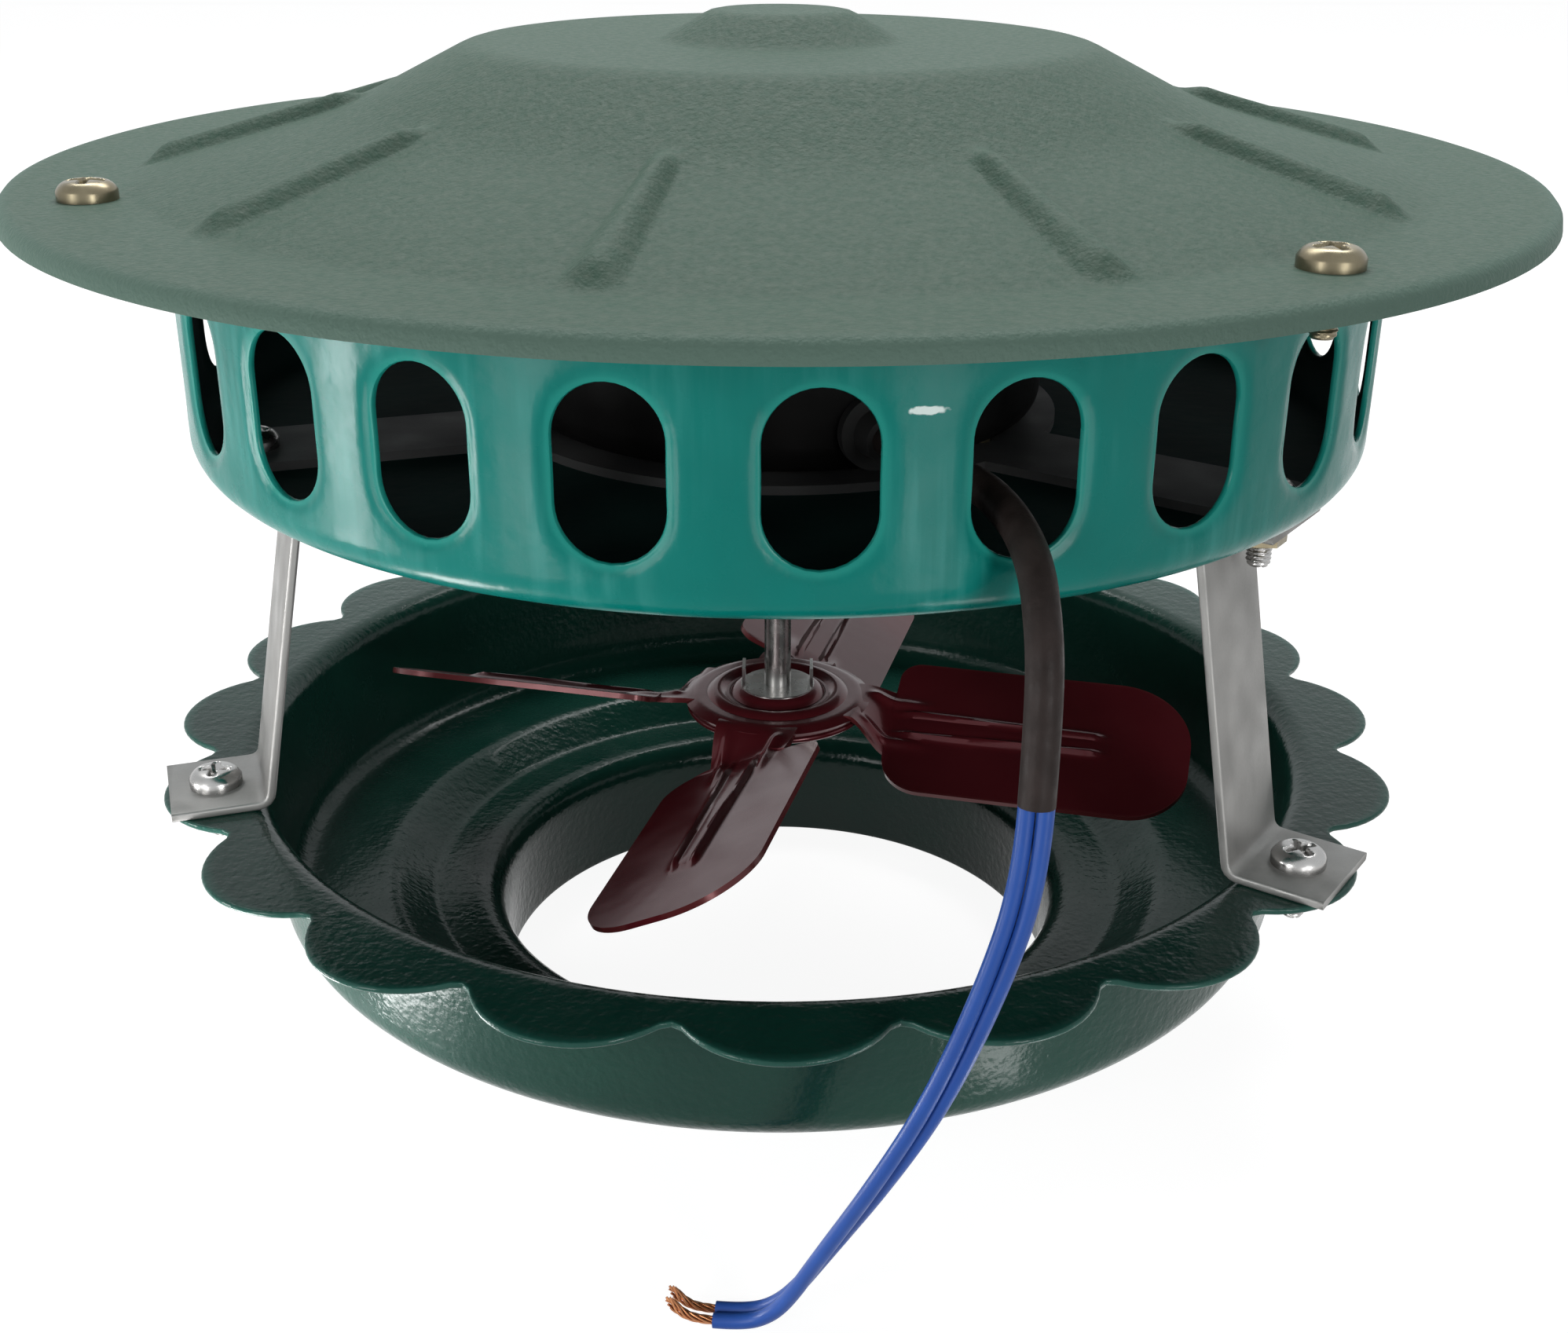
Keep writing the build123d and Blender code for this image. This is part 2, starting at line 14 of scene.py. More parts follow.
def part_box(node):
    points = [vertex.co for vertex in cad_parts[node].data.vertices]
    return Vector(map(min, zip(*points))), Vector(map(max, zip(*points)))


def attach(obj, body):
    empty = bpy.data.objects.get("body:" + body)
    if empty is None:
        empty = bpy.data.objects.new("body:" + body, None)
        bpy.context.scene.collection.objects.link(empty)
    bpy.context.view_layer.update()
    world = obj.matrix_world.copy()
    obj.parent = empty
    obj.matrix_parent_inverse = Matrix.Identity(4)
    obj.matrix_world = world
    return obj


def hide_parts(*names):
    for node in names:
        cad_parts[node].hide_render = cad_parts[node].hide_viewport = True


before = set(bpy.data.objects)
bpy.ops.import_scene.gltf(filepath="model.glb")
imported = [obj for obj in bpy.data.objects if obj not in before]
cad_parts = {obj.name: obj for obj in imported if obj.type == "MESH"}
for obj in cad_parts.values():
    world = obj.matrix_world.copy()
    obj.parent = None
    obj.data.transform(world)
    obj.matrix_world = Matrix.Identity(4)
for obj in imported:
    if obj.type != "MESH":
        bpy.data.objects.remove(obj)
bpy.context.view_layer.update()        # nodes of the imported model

MM = 0.001
HOUSING = "housing"
ROTOR = "rotor"
WELD = 2e-6
SHARP_ANGLE = radians(38)
ARC_POINTS = 8
EDGE_POINTS = 7
SHARP_GAP = 0.01
SHEET_GAUGE = 1.0
log = logging.getLogger("exhaust_fan")
Point = tuple[float, float, float]
Colour = tuple[float, float, float]


# Shapes on grids

def smooth_step(low: float, high: float, value: np.ndarray) -> np.ndarray:
    """Rises smoothly from 0 at low to 1 at high.

    Args:
        low: Value where the step starts.
        high: Value where the step ends.
        value: Values to read.

    Returns:
        Values from 0 to 1.
    """
    t = np.clip((value - low) / (high - low), 0.0, 1.0)
    return t * t * (3.0 - 2.0 * t)


def polar(radius: np.ndarray, front: np.ndarray, height: np.ndarray) -> np.ndarray:
    """Points from radius, front angle in radians (from -Y towards +X) and height, as an (..., 3) array."""
    radius, front, height = np.broadcast_arrays(radius, front, height)
    return np.stack([radius * np.sin(front), -radius * np.cos(front), height], -1)


def turned(points: np.ndarray, front: float) -> np.ndarray:
    """Turns points about the axis by a plain rotation of x and y.

    Args:
        points: Points built along +X, as an (..., 3) array.
        front: Front angle in degrees that +X is brought to.

    Returns:
        The turned points.
    """
    angle = radians(front - 90.0)
    c, s = np.cos(angle), np.sin(angle)
    x, y, z = points[..., 0], points[..., 1], points[..., 2]
    return np.stack([c * x - s * y, s * x + c * y, z], -1)


def rounded_line(points: Sequence[tuple[float, float]], rounds: Sequence[float],
                 arc_points: int = ARC_POINTS) -> np.ndarray:
    """Profile of straight runs whose corners are circular arcs.

    Args:
        points: Corners of the profile.
        rounds: Arc radius at each inner corner.
        arc_points: Points on each arc.

    Returns:
        Profile as an (n, 2) array.
    """
    corners = np.asarray(points, float)
    pieces = [corners[:1]]
    for before, corner, after, size in zip(corners, corners[1:], corners[2:], rounds):
        into = (corner - before) / np.linalg.norm(corner - before)
        out = (after - corner) / np.linalg.norm(after - corner)
        turn = np.arccos(np.clip(into @ out, -1.0, 1.0))
        side = out - into * (into @ out)
        side = side / np.linalg.norm(side)
        start = corner - into * size * np.tan(turn / 2)
        sweep = np.linspace(0.0, turn, arc_points)[:, None]
        pieces.append(start + size * (side * (1.0 - np.cos(sweep)) + into * np.sin(sweep)))
    pieces.append(corners[-1:])
    return np.concatenate(pieces)


def directions(line: np.ndarray) -> np.ndarray:
    """Unit directions along a line, from the differences of its points."""
    ahead = np.gradient(line, axis=0)
    return ahead / np.linalg.norm(ahead, axis=1, keepdims=True)


def resampled(line: np.ndarray, spacing: float) -> np.ndarray:
    """Reads a line again at even steps of its length.

    Args:
        line: Points of the line.
        spacing: Largest step between the new points.

    Returns:
        The same line with evenly spaced points.
    """
    steps = np.linalg.norm(np.diff(line, axis=0), axis=1)
    along = np.concatenate([[0.0], np.cumsum(steps)])
    places = np.linspace(0.0, along[-1], int(np.ceil(along[-1] / spacing)) + 1)
    return np.stack([np.interp(places, along, line[:, axis]) for axis in range(line.shape[1])], -1)


def beside(line: np.ndarray, distance: float) -> np.ndarray:
    """Moves a flat line along its normals.

    Args:
        line: Profile as an (n, 2) array.
        distance: Distance to the left of the line's direction.

    Returns:
        The moved line.
    """
    ahead = directions(line)
    return line + distance * np.stack([-ahead[:, 1], ahead[:, 0]], -1)


def sheet_loop(line: np.ndarray, gauge: float, closed_start: bool = False) -> np.ndarray:
    """Closed section of a sheet: the line, a round edge, the line's left offset back, and a round edge.

    Args:
        line: One face of the sheet as a profile.
        gauge: Sheet thickness.
        closed_start: True where the section starts on the axis and has no edge there.

    Returns:
        Section as an (n, 2) loop.
    """
    ahead = directions(line)
    line = line.copy()
    line[-1] -= ahead[-1] * gauge / 2
    if not closed_start:
        line[0] += ahead[0] * gauge / 2
    left = beside(line, gauge)
    sweep = np.linspace(0.0, np.pi, EDGE_POINTS)[1:-1, None]
    middle = (line[-1] + left[-1]) / 2
    across = (line[-1] - left[-1]) / 2
    end = middle + across * np.cos(sweep) + ahead[-1] * gauge / 2 * np.sin(sweep)
    pieces = [line, end, left[::-1]]
    if not closed_start:
        middle = (line[0] + left[0]) / 2
        across = (left[0] - line[0]) / 2
        pieces.append(middle + across * np.cos(sweep) - ahead[0] * gauge / 2 * np.sin(sweep))
    return np.concatenate(pieces)


def grid_quads(rows: int, columns: int, close_rows: bool, close_columns: bool) -> np.ndarray:
    """Joins each point of a grid with the next one along and across it.

    Args:
        rows: Number of rows.
        columns: Number of columns.
        close_rows: True where the last row joins the first.
        close_columns: True where the last column joins the first.

    Returns:
        Point numbers of the quads as an (n, 4) array.
    """
    row = np.arange(rows if close_rows else rows - 1)[:, None]
    column = np.arange(columns if close_columns else columns - 1)[None, :]
    next_row = (row + 1) % rows
    next_column = (column + 1) % columns
    corners = [
        row * columns + column,
        row * columns + next_column,
        next_row * columns + next_column,
        next_row * columns + column,
    ]
    return np.stack(corners, -1).reshape(-1, 4)


class Surface:
    """Mesh under construction: grids and end faces in millimetres, with marks for rims and inner faces."""

    def __init__(self, name: str) -> None:
        """Starts an empty surface.

        Args:
            name: Name of the piece.
        """
        self.name = name
        self.points: list[np.ndarray] = []
        self.rims: list[np.ndarray] = []
        self.insides: list[np.ndarray] = []
        self.faces: list[list[int]] = []
        self.count = 0

    def grid(self, points: np.ndarray, close_rows: bool = False, close_columns: bool = False,
             rim: np.ndarray | None = None, inside: np.ndarray | None = None) -> None:
        """Adds a grid of points.

        Args:
            points: Array of rows by columns by 3.
            close_rows: True where the last row joins the first.
            close_columns: True where the last column joins the first.
            rim: Rim mark of each point, from 0 to 1.
            inside: Mark of the faces that look inwards, from 0 to 1.
        """
        rows, columns = points.shape[:2]
        quads = grid_quads(rows, columns, close_rows, close_columns) + self.count
        self.faces.extend(quads.tolist())
        marks = []
        for mark in (rim, inside):
            spread = np.broadcast_to(0.0 if mark is None else mark, (rows, columns))
            marks.append(spread.ravel())
        self._store(points.reshape(-1, 3), *marks)

    def cap(self, ring: np.ndarray) -> None:
        """Closes an open end with one face over a ring of points."""
        self.faces.append(list(range(self.count, self.count + len(ring))))
        self._store(ring, np.zeros(len(ring)), np.zeros(len(ring)))

    def _store(self, points: np.ndarray, rim: np.ndarray, inside: np.ndarray) -> None:
        """Keeps points and their marks.

        Args:
            points: Points as an (n, 3) array.
            rim: Rim mark of each point.
            inside: Mark of inner faces at each point.
        """
        self.points.append(points)
        self.rims.append(rim)
        self.insides.append(inside)
        self.count += len(points)

    def make(self, body: str, finish: "Finish", node: str) -> bpy.types.Object:
        """Makes the piece, welds its seams, turns its faces outwards and sets it on its body.

        Args:
            body: Body that carries the piece.
            finish: Finish of the piece.
            node: Node that the piece stands for.

        Returns:
            The new object.
        """
        mesh = bpy.data.meshes.new(self.name)
        mesh.from_pydata((np.concatenate(self.points) * MM).tolist(), [], self.faces)
        for name, marks in (("rim", self.rims), ("inside", self.insides)):
            mark = mesh.attributes.new(name, "FLOAT", "POINT")
            mark.data.foreach_set("value", np.concatenate(marks).astype(np.float32))
        work = bmesh.new()
        work.from_mesh(mesh)
        bmesh.ops.remove_doubles(work, verts=work.verts, dist=WELD)
        bmesh.ops.dissolve_degenerate(work, edges=work.edges, dist=WELD)
        bmesh.ops.recalc_face_normals(work, faces=work.faces)
        work.to_mesh(mesh)
        work.free()
        mesh.polygons.foreach_set("use_smooth", np.ones(len(mesh.polygons), bool))
        mesh.set_sharp_from_angle(angle=SHARP_ANGLE)
        mesh.materials.append(finish.material())
        piece = bpy.data.objects.new(self.name, mesh)
        bpy.context.scene.collection.objects.link(piece)
        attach(piece, body)
        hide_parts(node)
        log.info("%s: %d faces on %s", self.name, len(mesh.polygons), body)
        return piece


# Shared effects and finishes

class Effect(Enum):
    """Node groups that several finishes use."""

    RELIEF = "surface_relief"
    DRIFT = "colour_drift"
    SPANGLE = "zinc_spangle"
    SPOT = "chip_spot"
    # Painted highlight streaks on the drum, dark smudges on the legs.
    STREAK = "smudge_and_highlight_streaks"


def new_group(effect: Effect, inputs: dict[str, tuple[str, object]], output: tuple[str, str]) -> tuple:
    """Starts a node group.

    Args:
        effect: Which effect the group makes.
        inputs: Socket type and default by input name.
        output: Name and socket type of the output.

    Returns:
        The tree, its input node and its output node.
    """
    tree = bpy.data.node_groups.new(effect.value, "ShaderNodeTree")
    for name, (kind, default) in inputs.items():
        socket = tree.interface.new_socket(name=name, in_out="INPUT", socket_type=kind)
        socket.default_value = default
    tree.interface.new_socket(name=output[0], in_out="OUTPUT", socket_type=output[1])
    return tree, tree.nodes.new("NodeGroupInput"), tree.nodes.new("NodeGroupOutput")


def noise_node(tree: bpy.types.NodeTree, scale: bpy.types.NodeSocket, detail: float) -> bpy.types.Node:
    """Places a noise on Object coordinates.

    Args:
        tree: Node tree that takes the noise.
        scale: Socket that gives its scale.
        detail: Octaves of the noise.

    Returns:
        The noise node.
    """
    place = tree.nodes.new("ShaderNodeTexCoord")
    noise = tree.nodes.new("ShaderNodeTexNoise")
    noise.inputs["Detail"].default_value = detail
    tree.links.new(place.outputs["Object"], noise.inputs["Vector"])
    tree.links.new(scale, noise.inputs["Scale"])
    return noise


def relief_group() -> bpy.types.NodeTree:
    """Paint relief: coarse noise plus a share of fine noise, as a height.

    Returns:
        The node group.
    """
    inputs = {
        "Coarse Scale": ("NodeSocketFloat", 300.0),
        "Fine Scale": ("NodeSocketFloat", 1500.0),
        "Fine Share": ("NodeSocketFloat", 0.3),
    }
    tree, source, sink = new_group(Effect.RELIEF, inputs, ("Height", "NodeSocketFloat"))
    coarse = noise_node(tree, source.outputs["Coarse Scale"], detail=1.0)
    fine = noise_node(tree, source.outputs["Fine Scale"], detail=2.0)
    share = tree.nodes.new("ShaderNodeMath")
    share.operation = "MULTIPLY_ADD"
    tree.links.new(fine.outputs[0], share.inputs[0])
    tree.links.new(source.outputs["Fine Share"], share.inputs[1])
    tree.links.new(coarse.outputs[0], share.inputs[2])
    tree.links.new(share.outputs[0], sink.inputs["Height"])
    return tree


def drift_group() -> bpy.types.NodeTree:
    """Slow and fine change between two colours over a surface.

    Returns:
        The node group.
    """
    inputs = {
        "Colour": ("NodeSocketColor", (1, 1, 1, 1)),
        "Shade": ("NodeSocketColor", (0, 0, 0, 1)),
        "Scale": ("NodeSocketFloat", 30.0),
        "Amount": ("NodeSocketFloat", 0.5),
    }
    tree, source, sink = new_group(Effect.DRIFT, inputs, ("Colour", "NodeSocketColor"))
    noise = noise_node(tree, source.outputs["Scale"], detail=5.0)
    spread = tree.nodes.new("ShaderNodeMapRange")
    spread.inputs["From Min"].default_value = 0.3
    spread.inputs["From Max"].default_value = 0.7
    amount = tree.nodes.new("ShaderNodeMath")
    amount.operation = "MULTIPLY"
    mix = tree.nodes.new("ShaderNodeMix")
    mix.data_type = "RGBA"
    tree.links.new(noise.outputs[0], spread.inputs["Value"])
    tree.links.new(spread.outputs["Result"], amount.inputs[0])
    tree.links.new(source.outputs["Amount"], amount.inputs[1])
    tree.links.new(amount.outputs[0], mix.inputs["Factor"])
    tree.links.new(source.outputs["Colour"], mix.inputs["A"])
    tree.links.new(source.outputs["Shade"], mix.inputs["B"])
    tree.links.new(mix.outputs["Result"], sink.inputs["Colour"])
    return tree


def spangle_group() -> bpy.types.NodeTree:
    """Grains of a zinc coat: a value for each crystal cell.

    Returns:
        The node group.
    """
    tree, source, sink = new_group(
        Effect.SPANGLE, {"Scale": ("NodeSocketFloat", 200.0)}, ("Mask", "NodeSocketFloat"))
    place = tree.nodes.new("ShaderNodeTexCoord")
    cells = tree.nodes.new("ShaderNodeTexVoronoi")
    value = tree.nodes.new("ShaderNodeSeparateColor")
    tree.links.new(place.outputs["Object"], cells.inputs["Vector"])
    tree.links.new(source.outputs["Scale"], cells.inputs["Scale"])
    tree.links.new(cells.outputs["Color"], value.inputs["Color"])
    tree.links.new(value.outputs["Red"], sink.inputs["Mask"])
    return tree


def spot_group() -> bpy.types.NodeTree:
    """Mask of one chip in the paint: 1 inside an ellipsoid at a place, with a ragged edge.

    Returns:
        The node group.
    """
    inputs = {
        "Place": ("NodeSocketVector", (0, 0, 0)),
        "Size": ("NodeSocketVector", (1, 1, 1)),
    }
    tree, source, sink = new_group(Effect.SPOT, inputs, ("Mask", "NodeSocketFloat"))
    place = tree.nodes.new("ShaderNodeTexCoord")
    offset = tree.nodes.new("ShaderNodeVectorMath")
    offset.operation = "SUBTRACT"
    share = tree.nodes.new("ShaderNodeVectorMath")
    share.operation = "DIVIDE"
    length = tree.nodes.new("ShaderNodeVectorMath")
    length.operation = "LENGTH"
    noise = tree.nodes.new("ShaderNodeTexNoise")
    noise.inputs["Scale"].default_value = 900.0
    ragged = tree.nodes.new("ShaderNodeMath")
    ragged.operation = "ADD"
    edge = tree.nodes.new("ShaderNodeMapRange")
    edge.inputs["From Min"].default_value = 1.5
    edge.inputs["From Max"].default_value = 1.25
    tree.links.new(place.outputs["Object"], offset.inputs[0])
    tree.links.new(source.outputs["Place"], offset.inputs[1])
    tree.links.new(offset.outputs["Vector"], share.inputs[0])
    tree.links.new(source.outputs["Size"], share.inputs[1])
    tree.links.new(share.outputs["Vector"], length.inputs[0])
    tree.links.new(place.outputs["Object"], noise.inputs["Vector"])
    tree.links.new(length.outputs["Value"], ragged.inputs[0])
    tree.links.new(noise.outputs[0], ragged.inputs[1])
    tree.links.new(ragged.outputs[0], edge.inputs["Value"])
    tree.links.new(edge.outputs["Result"], sink.inputs["Mask"])
    return tree


def streak_group() -> bpy.types.NodeTree:
    """Mask of faint upright streaks: noise drawn out along the height, in broad patches; painted highlight
    streaks on the drum, dark smudges on the legs.

    Returns:
        The node group.
    """
    tree, source, sink = new_group(
        Effect.STREAK, {"Scale": ("NodeSocketFloat", 500.0)}, ("Mask", "NodeSocketFloat"))
    place = tree.nodes.new("ShaderNodeTexCoord")
    drawn = tree.nodes.new("ShaderNodeVectorMath")
    drawn.operation = "MULTIPLY"
    drawn.inputs[1].default_value = (1.0, 1.0, 0.07)
    fine = tree.nodes.new("ShaderNodeTexNoise")
    fine.inputs["Detail"].default_value = 3.0
    broad = tree.nodes.new("ShaderNodeTexNoise")
    broad.inputs["Scale"].default_value = 38.0
    edges = []
    for noise, low, high in ((fine, 0.45, 0.75), (broad, 0.45, 0.65)):
        edge = tree.nodes.new("ShaderNodeMapRange")
        edge.inputs["From Min"].default_value = low
        edge.inputs["From Max"].default_value = high
        tree.links.new(noise.outputs[0], edge.inputs["Value"])
        edges.append(edge)
    both = tree.nodes.new("ShaderNodeMath")
    both.operation = "MULTIPLY"
    tree.links.new(place.outputs["Object"], drawn.inputs[0])
    tree.links.new(drawn.outputs["Vector"], fine.inputs["Vector"])
    tree.links.new(source.outputs["Scale"], fine.inputs["Scale"])
    tree.links.new(place.outputs["Object"], broad.inputs["Vector"])
    tree.links.new(edges[0].outputs["Result"], both.inputs[0])
    tree.links.new(edges[1].outputs["Result"], both.inputs[1])
    tree.links.new(both.outputs[0], sink.inputs["Mask"])
    return tree


GROUP_MAKERS = {
    Effect.RELIEF: relief_group,
    Effect.DRIFT: drift_group,
    Effect.SPANGLE: spangle_group,
    Effect.SPOT: spot_group,
    Effect.STREAK: streak_group,
}


def effect_node(tree: bpy.types.NodeTree, effect: Effect) -> bpy.types.Node:
    """Places a shared effect in a material, and makes its group on first use.

    Args:
        tree: Node tree of the material.
        effect: Which effect to place.

    Returns:
        The group node.
    """
    group = bpy.data.node_groups.get(effect.value) or GROUP_MAKERS[effect]()
    node = tree.nodes.new("ShaderNodeGroup")
    node.node_tree = group
    return node


@dataclass(frozen=True)
class Chip:
    """A small bare mark in a paint, placed in millimetres."""

    place: Point
    size: Point
    colour: Colour


@dataclass(frozen=True)
class Finish:
    """One surface finish: colours, gloss and relief."""

    name: str
    slot: str
    colour: Colour
    shade: Colour
    drift_scale: float = 40.0
    drift_amount: float = 0.6
    metallic: float = 0.0
    roughness: float = 0.4
    roughness_swing: float = 0.1
    coat: float = 0.0
    coat_roughness: float = 0.05
    specular: float = 0.5
    coarse_scale: float = 300.0
    fine_scale: float = 1500.0
    fine_share: float = 0.3
    relief_depth: float = 0.0
    spangle_scale: float = 0.0
    streak_scale: float = 0.0
    streak_colour: Colour = (1.0, 1.0, 1.0)
    rim_colour: Colour | None = None
    # Painted shade laid on the faces that look inwards.
    inside_shade_colour: Colour | None = None
    inside_roughness: float = 0.75
    spangle_share: float = 0.35
    gloss_drift_ratio: float = 1.7
    gloss_fine_share: float = 0.2
    chips: tuple[Chip, ...] = ()

    def material(self) -> bpy.types.Material:
        """Builds the material at its first use.

        Returns:
            The material.
        """
        known = bpy.data.materials.get(self.name)
        if known:
            return known
        material = bpy.data.materials.new(self.name)
        material.use_nodes = True
        tree = material.node_tree
        shader = tree.nodes["Principled BSDF"]
        shader.inputs["Metallic"].default_value = self.metallic
        shader.inputs["Coat Weight"].default_value = self.coat
        shader.inputs["Coat Roughness"].default_value = self.coat_roughness
        shader.inputs["Specular IOR Level"].default_value = self.specular
        tree.links.new(self._colour(tree), shader.inputs["Base Color"])
        roughness = self._roughness(tree)
        if self.inside_shade_colour:
            roughness = self._dull_inside(tree, shader, roughness)
        tree.links.new(roughness, shader.inputs["Roughness"])
        if self.relief_depth:
            tree.links.new(self._normal(tree), shader.inputs["Normal"])
        return material

    def _dull_inside(self, tree: bpy.types.NodeTree, shader: bpy.types.Node,
                     roughness: bpy.types.NodeSocket) -> bpy.types.NodeSocket:
        """Takes the gloss off the faces that look inwards.

        Args:
            tree: Node tree of the material.
            shader: Shader whose coat is masked.
            roughness: Roughness of the outer faces.

        Returns:
            Roughness of all faces.
        """
        mark = tree.nodes.new("ShaderNodeAttribute")
        mark.attribute_name = "inside"
        coat = tree.nodes.new("ShaderNodeMath")
        coat.operation = "MULTIPLY_ADD"
        coat.inputs[1].default_value = -self.coat
        coat.inputs[2].default_value = self.coat
        dull = tree.nodes.new("ShaderNodeMath")
        dull.operation = "MULTIPLY"
        dull.inputs[1].default_value = self.inside_roughness
        rougher = tree.nodes.new("ShaderNodeMath")
        rougher.operation = "MAXIMUM"
        tree.links.new(mark.outputs["Fac"], coat.inputs[0])
        tree.links.new(coat.outputs[0], shader.inputs["Coat Weight"])
        tree.links.new(mark.outputs["Fac"], dull.inputs[0])
        tree.links.new(dull.outputs[0], rougher.inputs[0])
        tree.links.new(roughness, rougher.inputs[1])
        return rougher.outputs[0]

    @staticmethod
    def _mix(tree: bpy.types.NodeTree, mask: bpy.types.NodeSocket, under: bpy.types.NodeSocket,
             over: Colour) -> bpy.types.NodeSocket:
        """Lays a colour over another where a mask is 1.

        Args:
            tree: Node tree of the material.
            mask: Socket of the mask.
            under: Socket of the colour below.
            over: Colour on top.

        Returns:
            Socket of the mixed colour.
        """
        mix = tree.nodes.new("ShaderNodeMix")
        mix.data_type = "RGBA"
        mix.inputs["B"].default_value = (*over, 1)
        tree.links.new(mask, mix.inputs["Factor"])
        tree.links.new(under, mix.inputs["A"])
        return mix.outputs["Result"]

    def _colour(self, tree: bpy.types.NodeTree) -> bpy.types.NodeSocket:
        """Lays drift, grains, streaks (pale painted highlights on the drum), lighter rims (a painted edge
        highlight on the pan's flange and the drum's slot lips), painted shade on inner faces and chips over
        each other, in that order.

        Args:
            tree: Node tree of the material.

        Returns:
            Socket of the colour.
        """
        drift = effect_node(tree, Effect.DRIFT)
        drift.inputs["Colour"].default_value = (*self.colour, 1)
        drift.inputs["Shade"].default_value = (*self.shade, 1)
        drift.inputs["Scale"].default_value = self.drift_scale
        drift.inputs["Amount"].default_value = self.drift_amount
        result = drift.outputs["Colour"]
        if self.spangle_scale:
            grains = effect_node(tree, Effect.SPANGLE)
            grains.inputs["Scale"].default_value = self.spangle_scale
            dim = tree.nodes.new("ShaderNodeMath")
            dim.operation = "MULTIPLY"
            dim.inputs[1].default_value = self.spangle_share
            tree.links.new(grains.outputs["Mask"], dim.inputs[0])
            result = self._mix(tree, dim.outputs[0], result, self.shade)
        if self.streak_scale:
            streaks = effect_node(tree, Effect.STREAK)
            streaks.inputs["Scale"].default_value = self.streak_scale
            result = self._mix(tree, streaks.outputs["Mask"], result, self.streak_colour)
        # The inside colour is painted shade, laid on the faces that look inwards.
        for mark, colour in (("rim", self.rim_colour), ("inside", self.inside_shade_colour)):
            if colour:
                place = tree.nodes.new("ShaderNodeAttribute")
                place.attribute_name = mark
                result = self._mix(tree, place.outputs["Fac"], result, colour)
        for chip in self.chips:
            spot = effect_node(tree, Effect.SPOT)
            spot.inputs["Place"].default_value = [value * MM for value in chip.place]
            spot.inputs["Size"].default_value = [value * MM for value in chip.size]
            result = self._mix(tree, spot.outputs["Mask"], result, chip.colour)
        return result

    def _roughness(self, tree: bpy.types.NodeTree) -> bpy.types.NodeSocket:
        """Spreads the roughness to both sides of its mean by a noise over the surface.

        Args:
            tree: Node tree of the material.

        Returns:
            Socket of the roughness.
        """
        relief = effect_node(tree, Effect.RELIEF)
        relief.inputs["Coarse Scale"].default_value = self.drift_scale * self.gloss_drift_ratio
        relief.inputs["Fine Scale"].default_value = self.fine_scale
        relief.inputs["Fine Share"].default_value = self.gloss_fine_share
        spread = tree.nodes.new("ShaderNodeMapRange")
        spread.inputs["From Min"].default_value = 0.35
        spread.inputs["From Max"].default_value = 0.85
        spread.inputs["To Min"].default_value = max(0.02, self.roughness - self.roughness_swing)
        spread.inputs["To Max"].default_value = min(1.0, self.roughness + self.roughness_swing)
        tree.links.new(relief.outputs["Height"], spread.inputs["Value"])
        return spread.outputs["Result"]

    def _normal(self, tree: bpy.types.NodeTree) -> bpy.types.NodeSocket:
        """Turns the shared relief into a bump.

        Args:
            tree: Node tree of the material.

        Returns:
            Socket of the normal.
        """
        relief = effect_node(tree, Effect.RELIEF)
        relief.inputs["Coarse Scale"].default_value = self.coarse_scale
        relief.inputs["Fine Scale"].default_value = self.fine_scale
        relief.inputs["Fine Share"].default_value = self.fine_share
        bump = tree.nodes.new("ShaderNodeBump")
        bump.inputs["Strength"].default_value = 1.0
        bump.inputs["Distance"].default_value = self.relief_depth * MM
        tree.links.new(relief.outputs["Height"], bump.inputs["Height"])
        return bump.outputs["Normal"]


